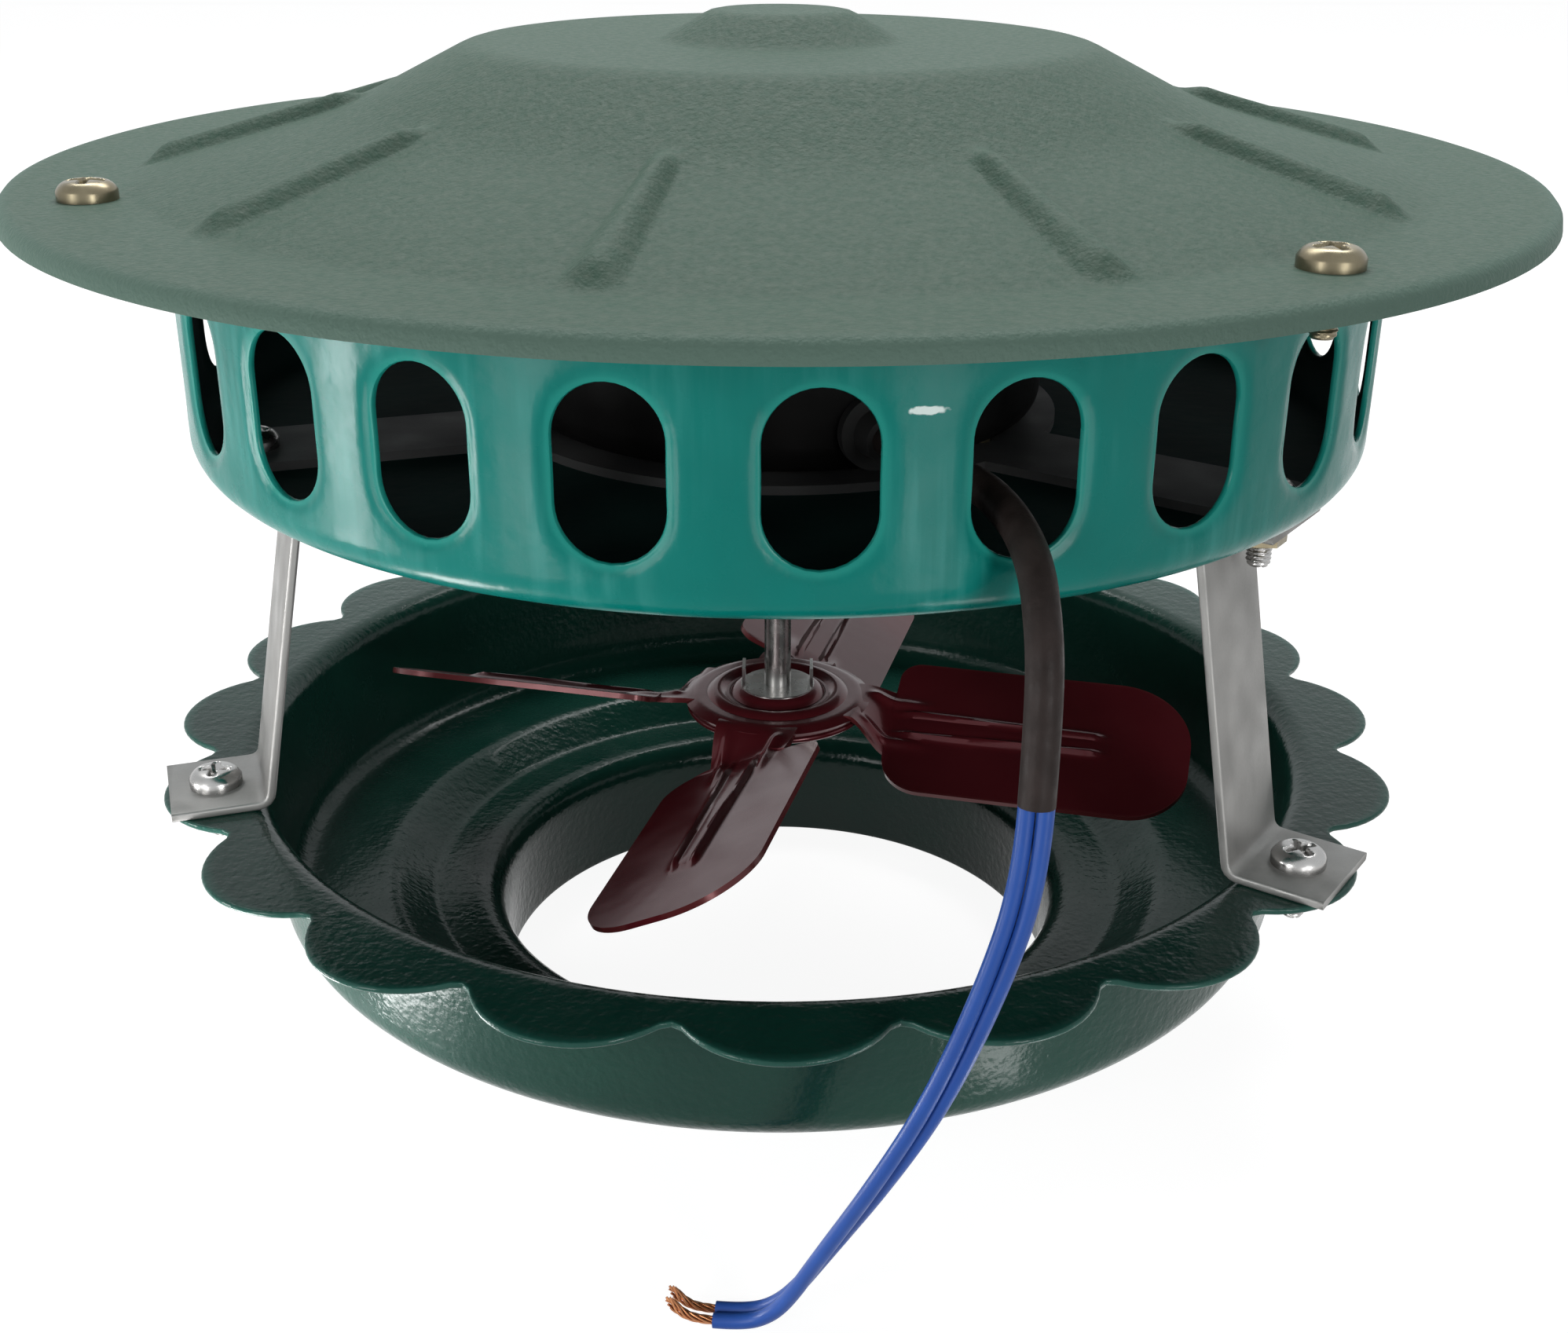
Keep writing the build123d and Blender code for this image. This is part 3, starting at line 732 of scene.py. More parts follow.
class Finishes:
    """The finishes of this fan."""

    CAP = Finish("grey_green_textured_paint", "cap_paint", (0.054, 0.101, 0.075), (0.087, 0.127, 0.1),
                 drift_scale=700.0, drift_amount=0.9, roughness=0.58, roughness_swing=0.06, specular=0.1,
                 coarse_scale=1200.0, fine_scale=2600.0, fine_share=0.6, relief_depth=0.15,
                 rim_colour=(0.1, 0.16, 0.13))
    DRUM = Finish("teal_gloss_enamel", "drum_enamel", (0.002, 0.185, 0.157), (0.001, 0.155, 0.132),
                  drift_scale=60.0, roughness=0.26, roughness_swing=0.07, coat=0.05, coat_roughness=0.08,
                  specular=0.12, coarse_scale=220.0, fine_scale=900.0, fine_share=0.2, relief_depth=0.16,
                  # Painted highlight: the streak colour lays pale upright streaks on the drum.
                  streak_scale=420.0, streak_colour=(0.035, 0.26, 0.23),
                  # Painted highlight: the rim colour lightens the slot lips.
                  # Painted shade: the inside colour darkens the drum's faces that look inwards to near black.
                  rim_colour=(0.012, 0.24, 0.2), inside_shade_colour=(0.004, 0.02, 0.018),
                  chips=(Chip(place=(19.1, -99.3, 143.6), size=(2.6, 3.0, 0.6), colour=(0.75, 0.85, 0.82)),))
    PAN = Finish("dark_green_gloss_enamel", "pan_enamel", (0.007, 0.042, 0.03), (0.005, 0.03, 0.023),
                 drift_scale=70.0, roughness=0.22, roughness_swing=0.06, coat=0.08, coat_roughness=0.06,
                 specular=0.14, coarse_scale=680.0, fine_scale=1700.0, fine_share=0.3, relief_depth=0.13,
                 # Painted highlight: the rim colour lays a pale line along the flange's scalloped edge.
                 rim_colour=(0.016, 0.075, 0.058))
    FAN = Finish("maroon_gloss_enamel", "fan_enamel", (0.095, 0.01, 0.014), (0.075, 0.006, 0.01),
                 drift_scale=80.0, metallic=0.25, roughness=0.22, roughness_swing=0.05, coat=0.1,
                 coat_roughness=0.05, specular=0.25, coarse_scale=260.0, fine_scale=1200.0, fine_share=0.15,
                 relief_depth=0.03, rim_colour=(0.13, 0.03, 0.03))
    STRAP = Finish("galvanised_strip", "strap_steel", (0.26, 0.252, 0.238), (0.13, 0.127, 0.12),
                   drift_scale=70.0, drift_amount=0.95, metallic=0.6, roughness=0.48, roughness_swing=0.18,
                   coarse_scale=500.0, fine_scale=2200.0, relief_depth=0.02, spangle_scale=330.0,
                   streak_scale=260.0, streak_colour=(0.07, 0.068, 0.063), rim_colour=(0.3, 0.295, 0.285))
    ZINC = Finish("yellow_zinc_plate", "zinc_fasteners", (0.22, 0.19, 0.125), (0.12, 0.1, 0.065),
                  drift_scale=300.0, metallic=0.95, roughness=0.32, roughness_swing=0.1,
                  coarse_scale=700.0, relief_depth=0.01)
    BRIGHT = Finish("bright_steel", "shaft_steel", (0.46, 0.45, 0.44), (0.28, 0.275, 0.265),
                    drift_scale=150.0, metallic=1.0, roughness=0.26, roughness_swing=0.08,
                    coarse_scale=900.0, relief_depth=0.008)
    # Painted shade: the legs' strap steel, darkened because the bracket sits in the drum's shade.
    BRACKET = Finish("strap_steel_in_painted_shade", "strap_steel", (0.1, 0.1, 0.1), (0.05, 0.05, 0.05),
                     drift_scale=60.0, metallic=0.5, roughness=0.6, roughness_swing=0.1)
    MOTOR = Finish("black_satin_enamel", "motor_black", (0.006, 0.006, 0.006), (0.011, 0.01, 0.01),
                   drift_scale=90.0, roughness=0.45, roughness_swing=0.08, specular=0.12, coarse_scale=380.0,
                   relief_depth=0.06)
    CORE = Finish("laminated_core", "core_steel", (0.3, 0.3, 0.31), (0.2, 0.2, 0.21),
                  metallic=0.9, roughness=0.45)
    WINDING = Finish("enamelled_copper", "winding_copper", (0.5, 0.18, 0.07), (0.35, 0.11, 0.04),
                     metallic=0.8, roughness=0.35)
    BRONZE = Finish("sintered_bronze", "bearing_bronze", (0.45, 0.3, 0.13), (0.33, 0.21, 0.09),
                    metallic=0.9, roughness=0.5)
    RUBBER = Finish("black_rubber", "grommet_rubber", (0.02, 0.02, 0.02), (0.03, 0.03, 0.03), roughness=0.7)
    SLEEVE = Finish("dark_fibre_sleeve", "sleeve_plastic", (0.018, 0.013, 0.012), (0.038, 0.028, 0.026),
                    drift_scale=260.0, drift_amount=0.7, roughness=0.5, roughness_swing=0.1, specular=0.12,
                    coarse_scale=900.0, fine_scale=2600.0, fine_share=0.5, relief_depth=0.05)
    LEAD = Finish("blue_insulation", "lead_blue", (0.022, 0.085, 0.36), (0.018, 0.062, 0.28),
                  drift_scale=140.0, roughness=0.4, roughness_swing=0.08, specular=0.25, coarse_scale=500.0,
                  relief_depth=0.02)
    COPPER = Finish("bare_copper", "strand_copper", (0.5, 0.22, 0.1), (0.22, 0.08, 0.04),
                    drift_scale=500.0, metallic=1.0, roughness=0.35)
    FIBRE = Finish("fibre_washer", "washer_plastic", (0.5, 0.46, 0.38), (0.42, 0.38, 0.3), roughness=0.7)


NODE_FINISHES = {
    "leg_foot_nuts": Finishes.ZINC,
    "leg_top_nuts": Finishes.ZINC,
    "cap_nuts": Finishes.ZINC,
    "motor_bolts": Finishes.ZINC,
    "motor_nuts": Finishes.ZINC,
    "motor_bracket": Finishes.BRACKET,
    "motor_lower_shell": Finishes.MOTOR,
    "motor_upper_shell": Finishes.MOTOR,
    "stator_core": Finishes.CORE,
    "rotor_core": Finishes.CORE,
    "stator_winding": Finishes.WINDING,
    "lower_bearing": Finishes.BRONZE,
    "upper_bearing": Finishes.BRONZE,
    "lead_grommet": Finishes.RUBBER,
    "shaft": Finishes.BRIGHT,
    "hub_bush": Finishes.BRIGHT,
    "shaft_clip": Finishes.BRIGHT,
    "thrust_washers": Finishes.FIBRE,
}


def dress_nodes() -> None:
    """Gives each node that no new piece stands for its finish."""
    for name, finish in NODE_FINISHES.items():
        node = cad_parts[name]
        node.data.materials.clear()
        node.data.materials.append(finish.material())
        log.info("%s: dressed in %s", name, finish.name)


# Sub-assemblies

@dataclass
class RainCap:
    """Pressed cap: boss, plateau, bell with ribs, brim and turned-down edge."""

    gauge: float = SHEET_GAUGE
    boss_top: float = 11.4
    boss_foot: float = 20.0
    boss_rise: float = 4.6
    boss_round: float = 5.0
    plateau: float = 51.2
    plateau_round: float = 10.0
    bell: float = 71.7
    bell_round: float = 60.0
    bell_rise: float = 9.2
    brim_inner: float = 105.7
    brim_round: float = 10.0
    edge_drop: float = 2.6
    edge_round: float = 2.2
    rib_count: int = 10
    rib_first: float = 23.5
    rib_inner: float = 67.0
    rib_outer: float = 106.0
    rib_half_inner: float = 2.4
    rib_half_outer: float = 4.6
    rib_height: float = 2.3
    rib_fade_inner: float = 7.0
    rib_fade_outer: float = 5.0
    rib_crown_power: float = 1.5
    rib_half_angle: float = 3.2
    rib_columns: int = 21
    gap_columns: int = 15
    point_gap: float = 1.3
    rim_start: float = 3.0
    rim_end: float = 0.5

    def build(self) -> bpy.types.Object:
        """Turns the sheet section about the axis and raises the ribs in it.

        Returns:
            The cap's piece.
        """
        low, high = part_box("rain_cap")
        top = high[2] / MM
        radius = high[0] / MM
        brim = low[2] / MM + self.edge_drop
        points = [
            (0.0, top),
            (self.boss_top, top),
            (self.boss_foot, top - self.boss_rise),
            (self.plateau, top - self.boss_rise),
            (self.bell, brim + self.bell_rise),
            (self.brim_inner, brim),
            (radius, brim),
            (radius, brim - self.edge_drop),
        ]
        rounds = [self.boss_round, self.boss_round, self.plateau_round, self.bell_round, self.brim_round,
                  self.edge_round]
        line = resampled(rounded_line(points, rounds), self.point_gap)
        section = sheet_loop(line, -self.gauge, closed_start=True)
        section[[0, -1], 0] = 0.0
        front = self._front_angles()
        height = section[:, 1:] + self._rib(section[:, :1], front[None, :])
        surface = Surface("rain_cap_sheet")
        rim = smooth_step(radius - self.rim_start, radius - self.rim_end, section[:, :1])
        surface.grid(polar(section[:, :1], front[None, :], height), close_columns=True, rim=rim)
        return surface.make(HOUSING, Finishes.CAP, "rain_cap")

    def _front_angles(self) -> np.ndarray:
        """Spaces the grid's columns closely across each rib and widely between the ribs.

        Returns:
            Front angles in radians.
        """
        pitch = 360.0 / self.rib_count
        edge = self.rib_half_angle
        rib = np.linspace(-edge, edge, self.rib_columns)
        gap = np.linspace(edge, pitch - edge, self.gap_columns)[1:-1]
        across = np.concatenate([rib, gap])
        starts = self.rib_first + pitch * np.arange(self.rib_count)
        return np.radians((starts[:, None] + across[None, :]).ravel())

    def _rib(self, radius: np.ndarray, front: np.ndarray) -> np.ndarray:
        """Raises the ribs: a rounded ridge that widens outwards and fades at both ends.

        Args:
            radius: Radii of the grid.
            front: Front angles of the grid in radians.

        Returns:
            Height of the ribs at each point.
        """
        pitch = 2.0 * np.pi / self.rib_count
        first = radians(self.rib_first)
        turn = (front - first + pitch / 2) % pitch - pitch / 2
        share = np.clip((radius - self.rib_inner) / (self.rib_outer - self.rib_inner), 0.0, 1.0)
        half = self.rib_half_inner + (self.rib_half_outer - self.rib_half_inner) * share
        ridge = np.clip(1.0 - (radius * turn / half) ** 2, 0.0, 1.0) ** self.rib_crown_power
        fade = smooth_step(self.rib_inner, self.rib_inner + self.rib_fade_inner, radius)
        fade = fade * (1.0 - smooth_step(self.rib_outer - self.rib_fade_outer, self.rib_outer, radius))
        return self.rib_height * ridge * fade


@dataclass
class BasePan:
    """Flue pan: spigot, ledge, step, floor, wall and scalloped flange."""

    gauge: float = SHEET_GAUGE
    spigot: float = 54.8
    ledge_height: float = 22.0
    ledge: float = 67.0
    step_run: float = 8.0
    step_rise: float = 5.0
    wall_low: float = 94.5
    wall_flare: float = 2.0
    lobe_count: int = 20
    lobe_first: float = 1.0
    lobe_tip: float = 112.5
    lobe_depth: float = 11.5
    lobe_columns: int = 20
    valley_blend: float = 7.0
    bend_rounds: tuple[float, ...] = (4.0, 3.0, 3.0, 6.0, 3.0)
    flange_bend_run: float = 3.5
    point_gap: float = 1.1
    rim_start: float = 2.2
    rim_end: float = 0.4

    def build(self) -> bpy.types.Object:
        """Turns the sheet section and stretches its flange out to the lobes.

        Returns:
            The pan's piece.
        """
        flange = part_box("base_pan")[1][2] / MM
        tip = self.lobe_tip
        ledge_under = self.ledge_height - self.gauge
        floor_under = ledge_under + self.step_rise
        wall_top = self.wall_low + self.wall_flare
        points = [
            (self.spigot, 0.0),
            (self.spigot, ledge_under),
            (self.ledge, ledge_under),
            (self.ledge + self.step_run, floor_under),
            (self.wall_low, floor_under),
            (wall_top, flange - self.gauge),
            (tip, flange - self.gauge),
        ]
        line = resampled(rounded_line(points, self.bend_rounds), self.point_gap)
        section = sheet_loop(line, self.gauge)
        count = self.lobe_count * self.lobe_columns
        front = np.radians(self.lobe_first + 360.0 / count * np.arange(count))
        bend = wall_top + self.flange_bend_run
        stretch = (self._edge(front) - bend) / (tip - bend)
        radius = section[:, :1]
        radius = np.where(radius > bend, bend + (radius - bend) * stretch[None, :], radius)
        rim = smooth_step(tip - self.rim_start, tip - self.rim_end, section[:, :1])
        surface = Surface("base_pan_sheet")
        sheet = polar(radius, front[None, :], section[:, 1:])
        surface.grid(sheet, close_rows=True, close_columns=True, rim=rim)
        return surface.make(HOUSING, Finishes.PAN, "base_pan")

    def _edge(self, front: np.ndarray) -> np.ndarray:
        """Takes the further of two neighbouring round lobes, blended in the valley between them.

        Args:
            front: Front angles in radians.

        Returns:
            Radius of the scalloped edge at each angle.
        """
        tip = self.lobe_tip
        pitch = 2.0 * np.pi / self.lobe_count
        root = tip - self.lobe_depth
        centre = (tip**2 - root**2) / (2.0 * (tip - root * np.cos(pitch / 2)))
        size = tip - centre
        turn = (front - radians(self.lobe_first) + pitch / 2) % pitch - pitch / 2
        lobes = []
        for shift in (np.abs(turn), pitch - np.abs(turn)):
            inside = np.maximum(size**2 - (centre * np.sin(shift)) ** 2, 0.0)
            lobes.append(centre * np.cos(shift) + np.sqrt(inside))
        gap = lobes[0] - lobes[1]
        return (lobes[0] + lobes[1] + np.sqrt(gap**2 + self.valley_blend**2)) / 2.0


@dataclass
class MotorDrum:
    """Bowl with upright slots, each with a dished and rounded lip, and a top flange."""

    gauge: float = SHEET_GAUGE
    radius: float = 101.0
    flange: float = 119.0
    corner: float = 5.0
    opening: float = 9.5
    slot_count: int = 23
    slot_first: float = 3.3
    slot_width: float = 16.0
    slot_height: float = 25.0
    slot_lift: float = 7.7
    across: int = 12
    upward: int = 16
    lip_dish: float = 0.5
    lip_reach: float = 1.1
    lip_round: float = 0.35
    lip_points: int = 6
    dish_reach: float = 2.2
    dish_power: float = 1.5
    rim_start: float = 0.2
    panel_lift: float = 0.6
    collar_height: float = 4.0
    collar_round: float = 2.0
    bowl_arc_points: int = 10
    collar_arc_points: int = 6
    ray_points: int = 9
    ray_crowding: float = 1.6
    halvings: int = 40

    def build(self) -> bpy.types.Object:
        """Joins the slotted wall panels to the bowl below and the flange above.

        Returns:
            The drum's piece.
        """
        low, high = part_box("motor_drum")
        floor, top = low[2] / MM, high[2] / MM
        middle = floor + self.slot_lift + self.slot_height / 2
        panel_low = floor + self.corner + self.panel_lift
        panel_high = top - self.collar_height
        flange_under = top - self.gauge
        surface = Surface("motor_drum_sheet")
        count = self.slot_count * self.across
        start = self.slot_first - 180.0 / self.slot_count
        front = np.radians(start + 360.0 / count * np.arange(count))[None, :]
        bowl = rounded_line(
            [(self.opening, floor), (self.radius, floor), (self.radius, panel_low)],
            [self.corner], self.bowl_arc_points)
        collar = rounded_line(
            [(self.radius, panel_high), (self.radius, flange_under), (self.flange, flange_under)],
            [self.collar_round], self.collar_arc_points)
        bowl_section = self._open_loop(bowl[::-1], -1.0)
        collar_section = self._open_loop(collar, 1.0)
        for section, line in ((bowl_section, bowl), (collar_section, collar)):
            inside = (np.arange(len(section)) > len(line))[:, None] * 1.0
            surface.grid(polar(section[:, :1], front, section[:, 1:]), close_columns=True, inside=inside)
        for number in range(self.slot_count):
            slot_front = self.slot_first + 360.0 / self.slot_count * number
            self._panel(surface, slot_front, middle, panel_low, panel_high)
        return surface.make(HOUSING, Finishes.DRUM, "motor_drum")

    def _open_loop(self, line: np.ndarray, side: float) -> np.ndarray:
        """Runs from the wall's outside, round the far edge, back to the wall's inside.

        Args:
            line: Outer face as a profile that starts at the wall.
            side: 1 where the sheet lies to the left of the line, -1 to the right.

        Returns:
            Open section as an (n, 2) array.
        """
        section = sheet_loop(line, side * self.gauge, closed_start=True)
        section[0] = line[0]
        section[-1] = line[0] - (self.gauge, 0.0)
        return section

    def _panel(self, surface: Surface, front: float, middle: float, low: float, high: float) -> None:
        """Adds the wall panel round one slot: rays from the slot's middle, from its edge to the border.

        Args:
            surface: Surface that takes the panel.
            front: Front angle of the slot in degrees.
            middle: Height of the slot's middle.
            low: Height of the panel's lower border.
            high: Height of the panel's upper border.
        """
        half = np.pi * self.radius / self.slot_count
        side = np.linspace(low, high, self.upward + 1)
        span = np.linspace(-half, half, self.across + 1)
        border = np.concatenate([
            np.stack([span[:-1], np.full(self.across, low)], -1),
            np.stack([np.full(self.upward, half), side[:-1]], -1),
            np.stack([span[:0:-1], np.full(self.across, high)], -1),
            np.stack([np.full(self.upward, -half), side[:0:-1]], -1),
        ]) - (0.0, middle)
        edge = border * self._edge_share(border)[:, None]
        share = np.linspace(0.0, 1.0, self.ray_points)[:, None, None] ** self.ray_crowding
        flat = edge[None] + (border - edge)[None] * share
        distance = np.linalg.norm(flat - edge[None], axis=2)
        dish = self.lip_dish * (1.0 - smooth_step(0.0, self.dish_reach, distance)) ** self.dish_power
        outer = self.radius - dish
        inner = outer - self.gauge
        sweep = np.linspace(0.0, np.pi, self.lip_points)[1:-1, None]
        depth = (outer[:1] + inner[:1]) / 2 + self.gauge / 2 * np.cos(sweep)
        outward = edge / np.linalg.norm(edge, axis=1, keepdims=True)
        lip = edge[None] - outward[None] * (self.lip_round * np.sin(sweep))[..., None]
        plane = np.concatenate([flat[::-1], lip, flat])
        radius = np.concatenate([outer[::-1], depth, inner])
        rim = np.concatenate([
            (1.0 - smooth_step(self.rim_start, self.lip_reach, distance))[::-1],
            np.ones_like(depth),
            np.zeros_like(distance),
        ])
        inside = np.concatenate([np.zeros_like(outer), np.zeros_like(depth), np.ones_like(inner)])
        turn = radians(front) + plane[..., 0] / self.radius
        surface.grid(polar(radius, turn, plane[..., 1] + middle), close_columns=True, rim=rim, inside=inside)

    def _edge_share(self, border: np.ndarray) -> np.ndarray:
        """Finds by halving where each ray from the slot's middle meets the slot's edge.

        Args:
            border: Ends of the rays, from the slot's middle.

        Returns:
            Share of each ray that lies in the slot.
        """
        end = (self.slot_height - self.slot_width) / 2
        near, far = np.zeros(len(border)), np.ones(len(border))
        for _ in range(self.halvings):
            share = (near + far) / 2
            point = border * share[:, None]
            rest = point - np.stack([np.zeros(len(point)), np.clip(point[:, 1], -end, end)], -1)
            inside = np.linalg.norm(rest, axis=1) < self.slot_width / 2
            near = np.where(inside, share, near)
            far = np.where(inside, far, share)
        return near


@dataclass
class StrapLegs:
    """Three strap legs: foot tab, leaning web and top tab, with rounded strip edges."""

    fronts: tuple[float, ...] = (55.0, 181.0, 289.0)
    width: float = 20.0
    gauge: float = 1.5
    bend: float = 3.0
    foot_inner: float = 95.0
    foot_outer: float = 112.0
    top_inner: float = 84.0
    top_outer: float = 97.0
    edge_round: float = 0.45
    edge_points: int = 4
    bend_points: int = 10
    point_gap: float = 1.2
    rim_start: float = 0.8
    rim_end: float = 0.2

    def build(self) -> list[bpy.types.Object]:
        """Carries the strip's section along the bent line of each leg.

        Returns:
            The legs' pieces.
        """
        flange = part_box("base_pan")[1][2] / MM
        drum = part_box("motor_drum")[0][2] / MM
        corners = [
            (self.foot_outer, flange),
            (self.foot_inner, flange),
            (self.top_inner, drum),
            (self.top_outer, drum),
        ]
        line = resampled(rounded_line(corners, [self.bend, self.bend], self.bend_points), self.point_gap)
        section = self._section()
        ahead = directions(line)
        right = np.stack([ahead[:, 1], -ahead[:, 0]], -1)
        place = line[:, None, :] + right[:, None, :] * section[None, :, 1:]
        across = np.broadcast_to(section[None, :, 0], place.shape[:2])
        points = np.stack([place[..., 0], across, place[..., 1]], -1)
        half = self.width / 2
        rim = smooth_step(half - self.rim_start, half - self.rim_end, np.abs(across))
        legs = []
        for number, front in enumerate(self.fronts, start=1):
            surface = Surface(f"strap_leg_{number}")
            placed = turned(points, front)
            surface.grid(placed, close_columns=True, rim=rim)
            surface.cap(placed[0])
            surface.cap(placed[-1][::-1])
            legs.append(surface.make(HOUSING, Finishes.STRAP, f"leg_{number}"))
        return legs

    def _section(self) -> np.ndarray:
        """Sets a quarter circle at each corner of the strip's rectangle, with its face on the line.

        Returns:
            Section, across by thickness, as an (n, 2) loop.
        """
        size = self.edge_round
        side = self.width / 2 - size
        top = self.gauge - size
        sweep = np.radians(np.linspace(-90.0, 0.0, self.edge_points))
        arcs = []
        for number, (x, y) in enumerate([(side, size), (side, top), (-side, top), (-side, size)]):
            angle = sweep + np.pi / 2 * number
            arcs.append(np.stack([x + size * np.cos(angle), y + size * np.sin(angle)], -1))
        return np.concatenate(arcs)


@dataclass
class PaddleFan:
    """One-piece pressed fan: ringed hub and four pitched paddles, set lower than the hub, with a long rib."""

    gauge: float = SHEET_GAUGE
    blade_count: int = 4
    blade_front: float = 76.0
    pitch: float = 25.0
    tip: float = 78.0
    chord: float = 31.0
    drop: float = 4.0
    rear_round: float = 14.0
    front_round: float = 11.0
    rear_shoulder: float = 4.0
    front_shoulder: float = 8.0
    root: float = 14.5
    shoulder: float = 22.0
    neck_half: float = 7.5
    neck_twist_start: float = 1.0
    neck_twist_end: float = 1.0
    crease_place: float = 4.7
    crease_width: float = 1.1
    crease_height: float = 0.9
    crease_start: tuple[float, float] = (2.0, 5.0)
    crease_end: tuple[float, float] = (24.0, 32.0)
    rib_inner: float = 25.0
    rib_outer: float = 63.0
    rib_half: float = 3.4
    rib_taper: float = 0.25
    rib_height: float = 1.1
    rib_start_before: float = 5.0
    rib_start_after: float = 3.0
    rib_end_fade: float = 3.0
    ridge_share: float = 0.72
    ridge_width: float = 0.75
    channel_share: float = 0.45
    hub: float = 17.5
    hub_bore: float = 2.55
    crown: float = 7.2
    crown_foot: float = 8.4
    crown_rise: float = 1.35
    ring_inner: float = 10.2
    ring_crest: float = 11.6
    ring_outer: float = 13.0
    ring_rise: float = 1.1
    rim_run: float = 2.0
    rim_drop: float = 0.9
    hub_rounds: tuple[float, ...] = (0.5, 0.5, 0.4, 0.8, 0.4, 1.2)
    hub_arc_points: int = 5
    hub_point_gap: float = 0.35
    hub_column_angle: float = 4.0
    hub_extra_gauge: float = 0.3
    blade_sink: float = 0.7
    neck_rows: int = 14
    shoulder_rows: int = 14
    middle_rows: int = 26
    tip_rows: int = 22
    chord_columns: int = 61
    edge_tint: float = 0.5

    def build(self) -> bpy.types.Object:
        """Joins the hub and the paddles in one piece.

        Returns:
            The fan's piece.
        """
        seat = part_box("hub_bush")[1][2] / MM
        surface = Surface("paddle_fan")
        self._hub(surface, seat)
        blade = self._blade(seat - self.blade_sink)
        for number in range(self.blade_count):
            placed = turned(blade, self.blade_front + 360.0 / self.blade_count * number)
            surface.grid(placed, close_columns=True, rim=self._blade_rim(blade.shape[1]))
            surface.cap(placed[0])
            surface.cap(placed[-1][::-1])
        return surface.make(ROTOR, Finishes.FAN, "fan")

    def _hub(self, surface: Surface, seat: float) -> None:
        """Turns the hub's section: raised crown, embossed ring and a turned-down rim that takes the paddles.

        Args:
            surface: Surface that takes the hub.
            seat: Height of the crown.
        """
        low = seat - self.crown_rise
        points = [
            (self.hub_bore, seat),
            (self.crown, seat),
            (self.crown_foot, low),
            (self.ring_inner, low),
            (self.ring_crest, low + self.ring_rise),
            (self.ring_outer, low),
            (self.hub - self.rim_run, low),
            (self.hub, low - self.rim_drop),
        ]
        line = resampled(rounded_line(points, self.hub_rounds, self.hub_arc_points), self.hub_point_gap)
        section = sheet_loop(line, self.gauge + self.hub_extra_gauge)
        front = np.radians(np.arange(0.0, 360.0, self.hub_column_angle))[None, :]
        sheet = polar(section[:, :1], front, section[:, 1:])
        surface.grid(sheet, close_rows=True, close_columns=True)

    def _blade(self, height: float) -> np.ndarray:
        """Lowers and pitches chord lines along the neck and carries them on to the tip, with a pressed rib.

        Args:
            height: Height of the paddle's root.

        Returns:
            Closed grid of a paddle along +X.
        """
        shoulder_turn = np.linspace(0.0, np.pi / 2, self.shoulder_rows)
        shoulder_end = self.shoulder + self.front_shoulder
        tip_turn = np.linspace(0.0, np.pi / 2, self.tip_rows)
        radius = np.concatenate([
            np.linspace(self.root, self.shoulder - SHARP_GAP, self.neck_rows),
            self.shoulder + self.front_shoulder * (1.0 - np.cos(shoulder_turn)),
            np.linspace(shoulder_end, self.tip - self.rear_round, self.middle_rows)[1:-1],
            self.tip - self.rear_round * (1.0 - np.sin(tip_turn)),
        ])
        rear = self._half_width(radius, self.rear_shoulder, self.rear_round)
        front = self._half_width(radius, self.front_shoulder, self.front_round)
        across = np.linspace(-1.0, 1.0, self.chord_columns)[None, :]
        chord = np.where(across > 0, across * rear[:, None], across * front[:, None])
        twist_start = self.root + self.neck_twist_start
        twist_end = self.shoulder + self.neck_twist_end
        neck = smooth_step(twist_start, twist_end, radius)[:, None]
        twist = np.radians(self.pitch) * neck
        lift = self._relief(radius[:, None], chord)
        faces = []
        for offset, order in ((self.gauge / 2, 1), (-self.gauge / 2, -1)):
            up = lift + offset
            y = chord * np.cos(twist) - up * np.sin(twist)
            z = height - self.drop * neck + chord * np.sin(twist) + up * np.cos(twist)
            x = np.broadcast_to(radius[:, None], y.shape)
            faces.append(np.stack([x, y, z], -1)[:, ::order])
        return np.concatenate(faces, axis=1)

    def _relief(self, radius: np.ndarray, chord: np.ndarray) -> np.ndarray:
        """Presses a channel between two ridges that closes at its outer end, and two creases at the neck.

        Args:
            radius: Radii of the grid.
            chord: Places across the paddle.

        Returns:
            Height of the relief at each point.
        """
        narrow = self.rib_half * (1.0 - self.rib_taper * smooth_step(self.rib_inner, self.rib_outer, radius))
        ridge = np.exp(-(((np.abs(chord) - narrow * self.ridge_share) / self.ridge_width) ** 2))
        floor = np.clip(1.0 - (chord / narrow) ** 2, 0.0, 1.0) * self.channel_share
        rib_start = self.rib_inner - self.rib_start_before
        along = smooth_step(rib_start, self.rib_inner + self.rib_start_after, radius)
        along = along * (1.0 - smooth_step(self.rib_outer - self.rib_end_fade, self.rib_outer, radius))
        crease = np.exp(-((np.abs(chord) - self.crease_place) / self.crease_width) ** 2)
        near = smooth_step(*(self.root + reach for reach in self.crease_start), radius)
        near = near * (1.0 - smooth_step(*self.crease_end, radius))
        return self.rib_height * np.maximum(ridge, floor) * along + self.crease_height * crease * near

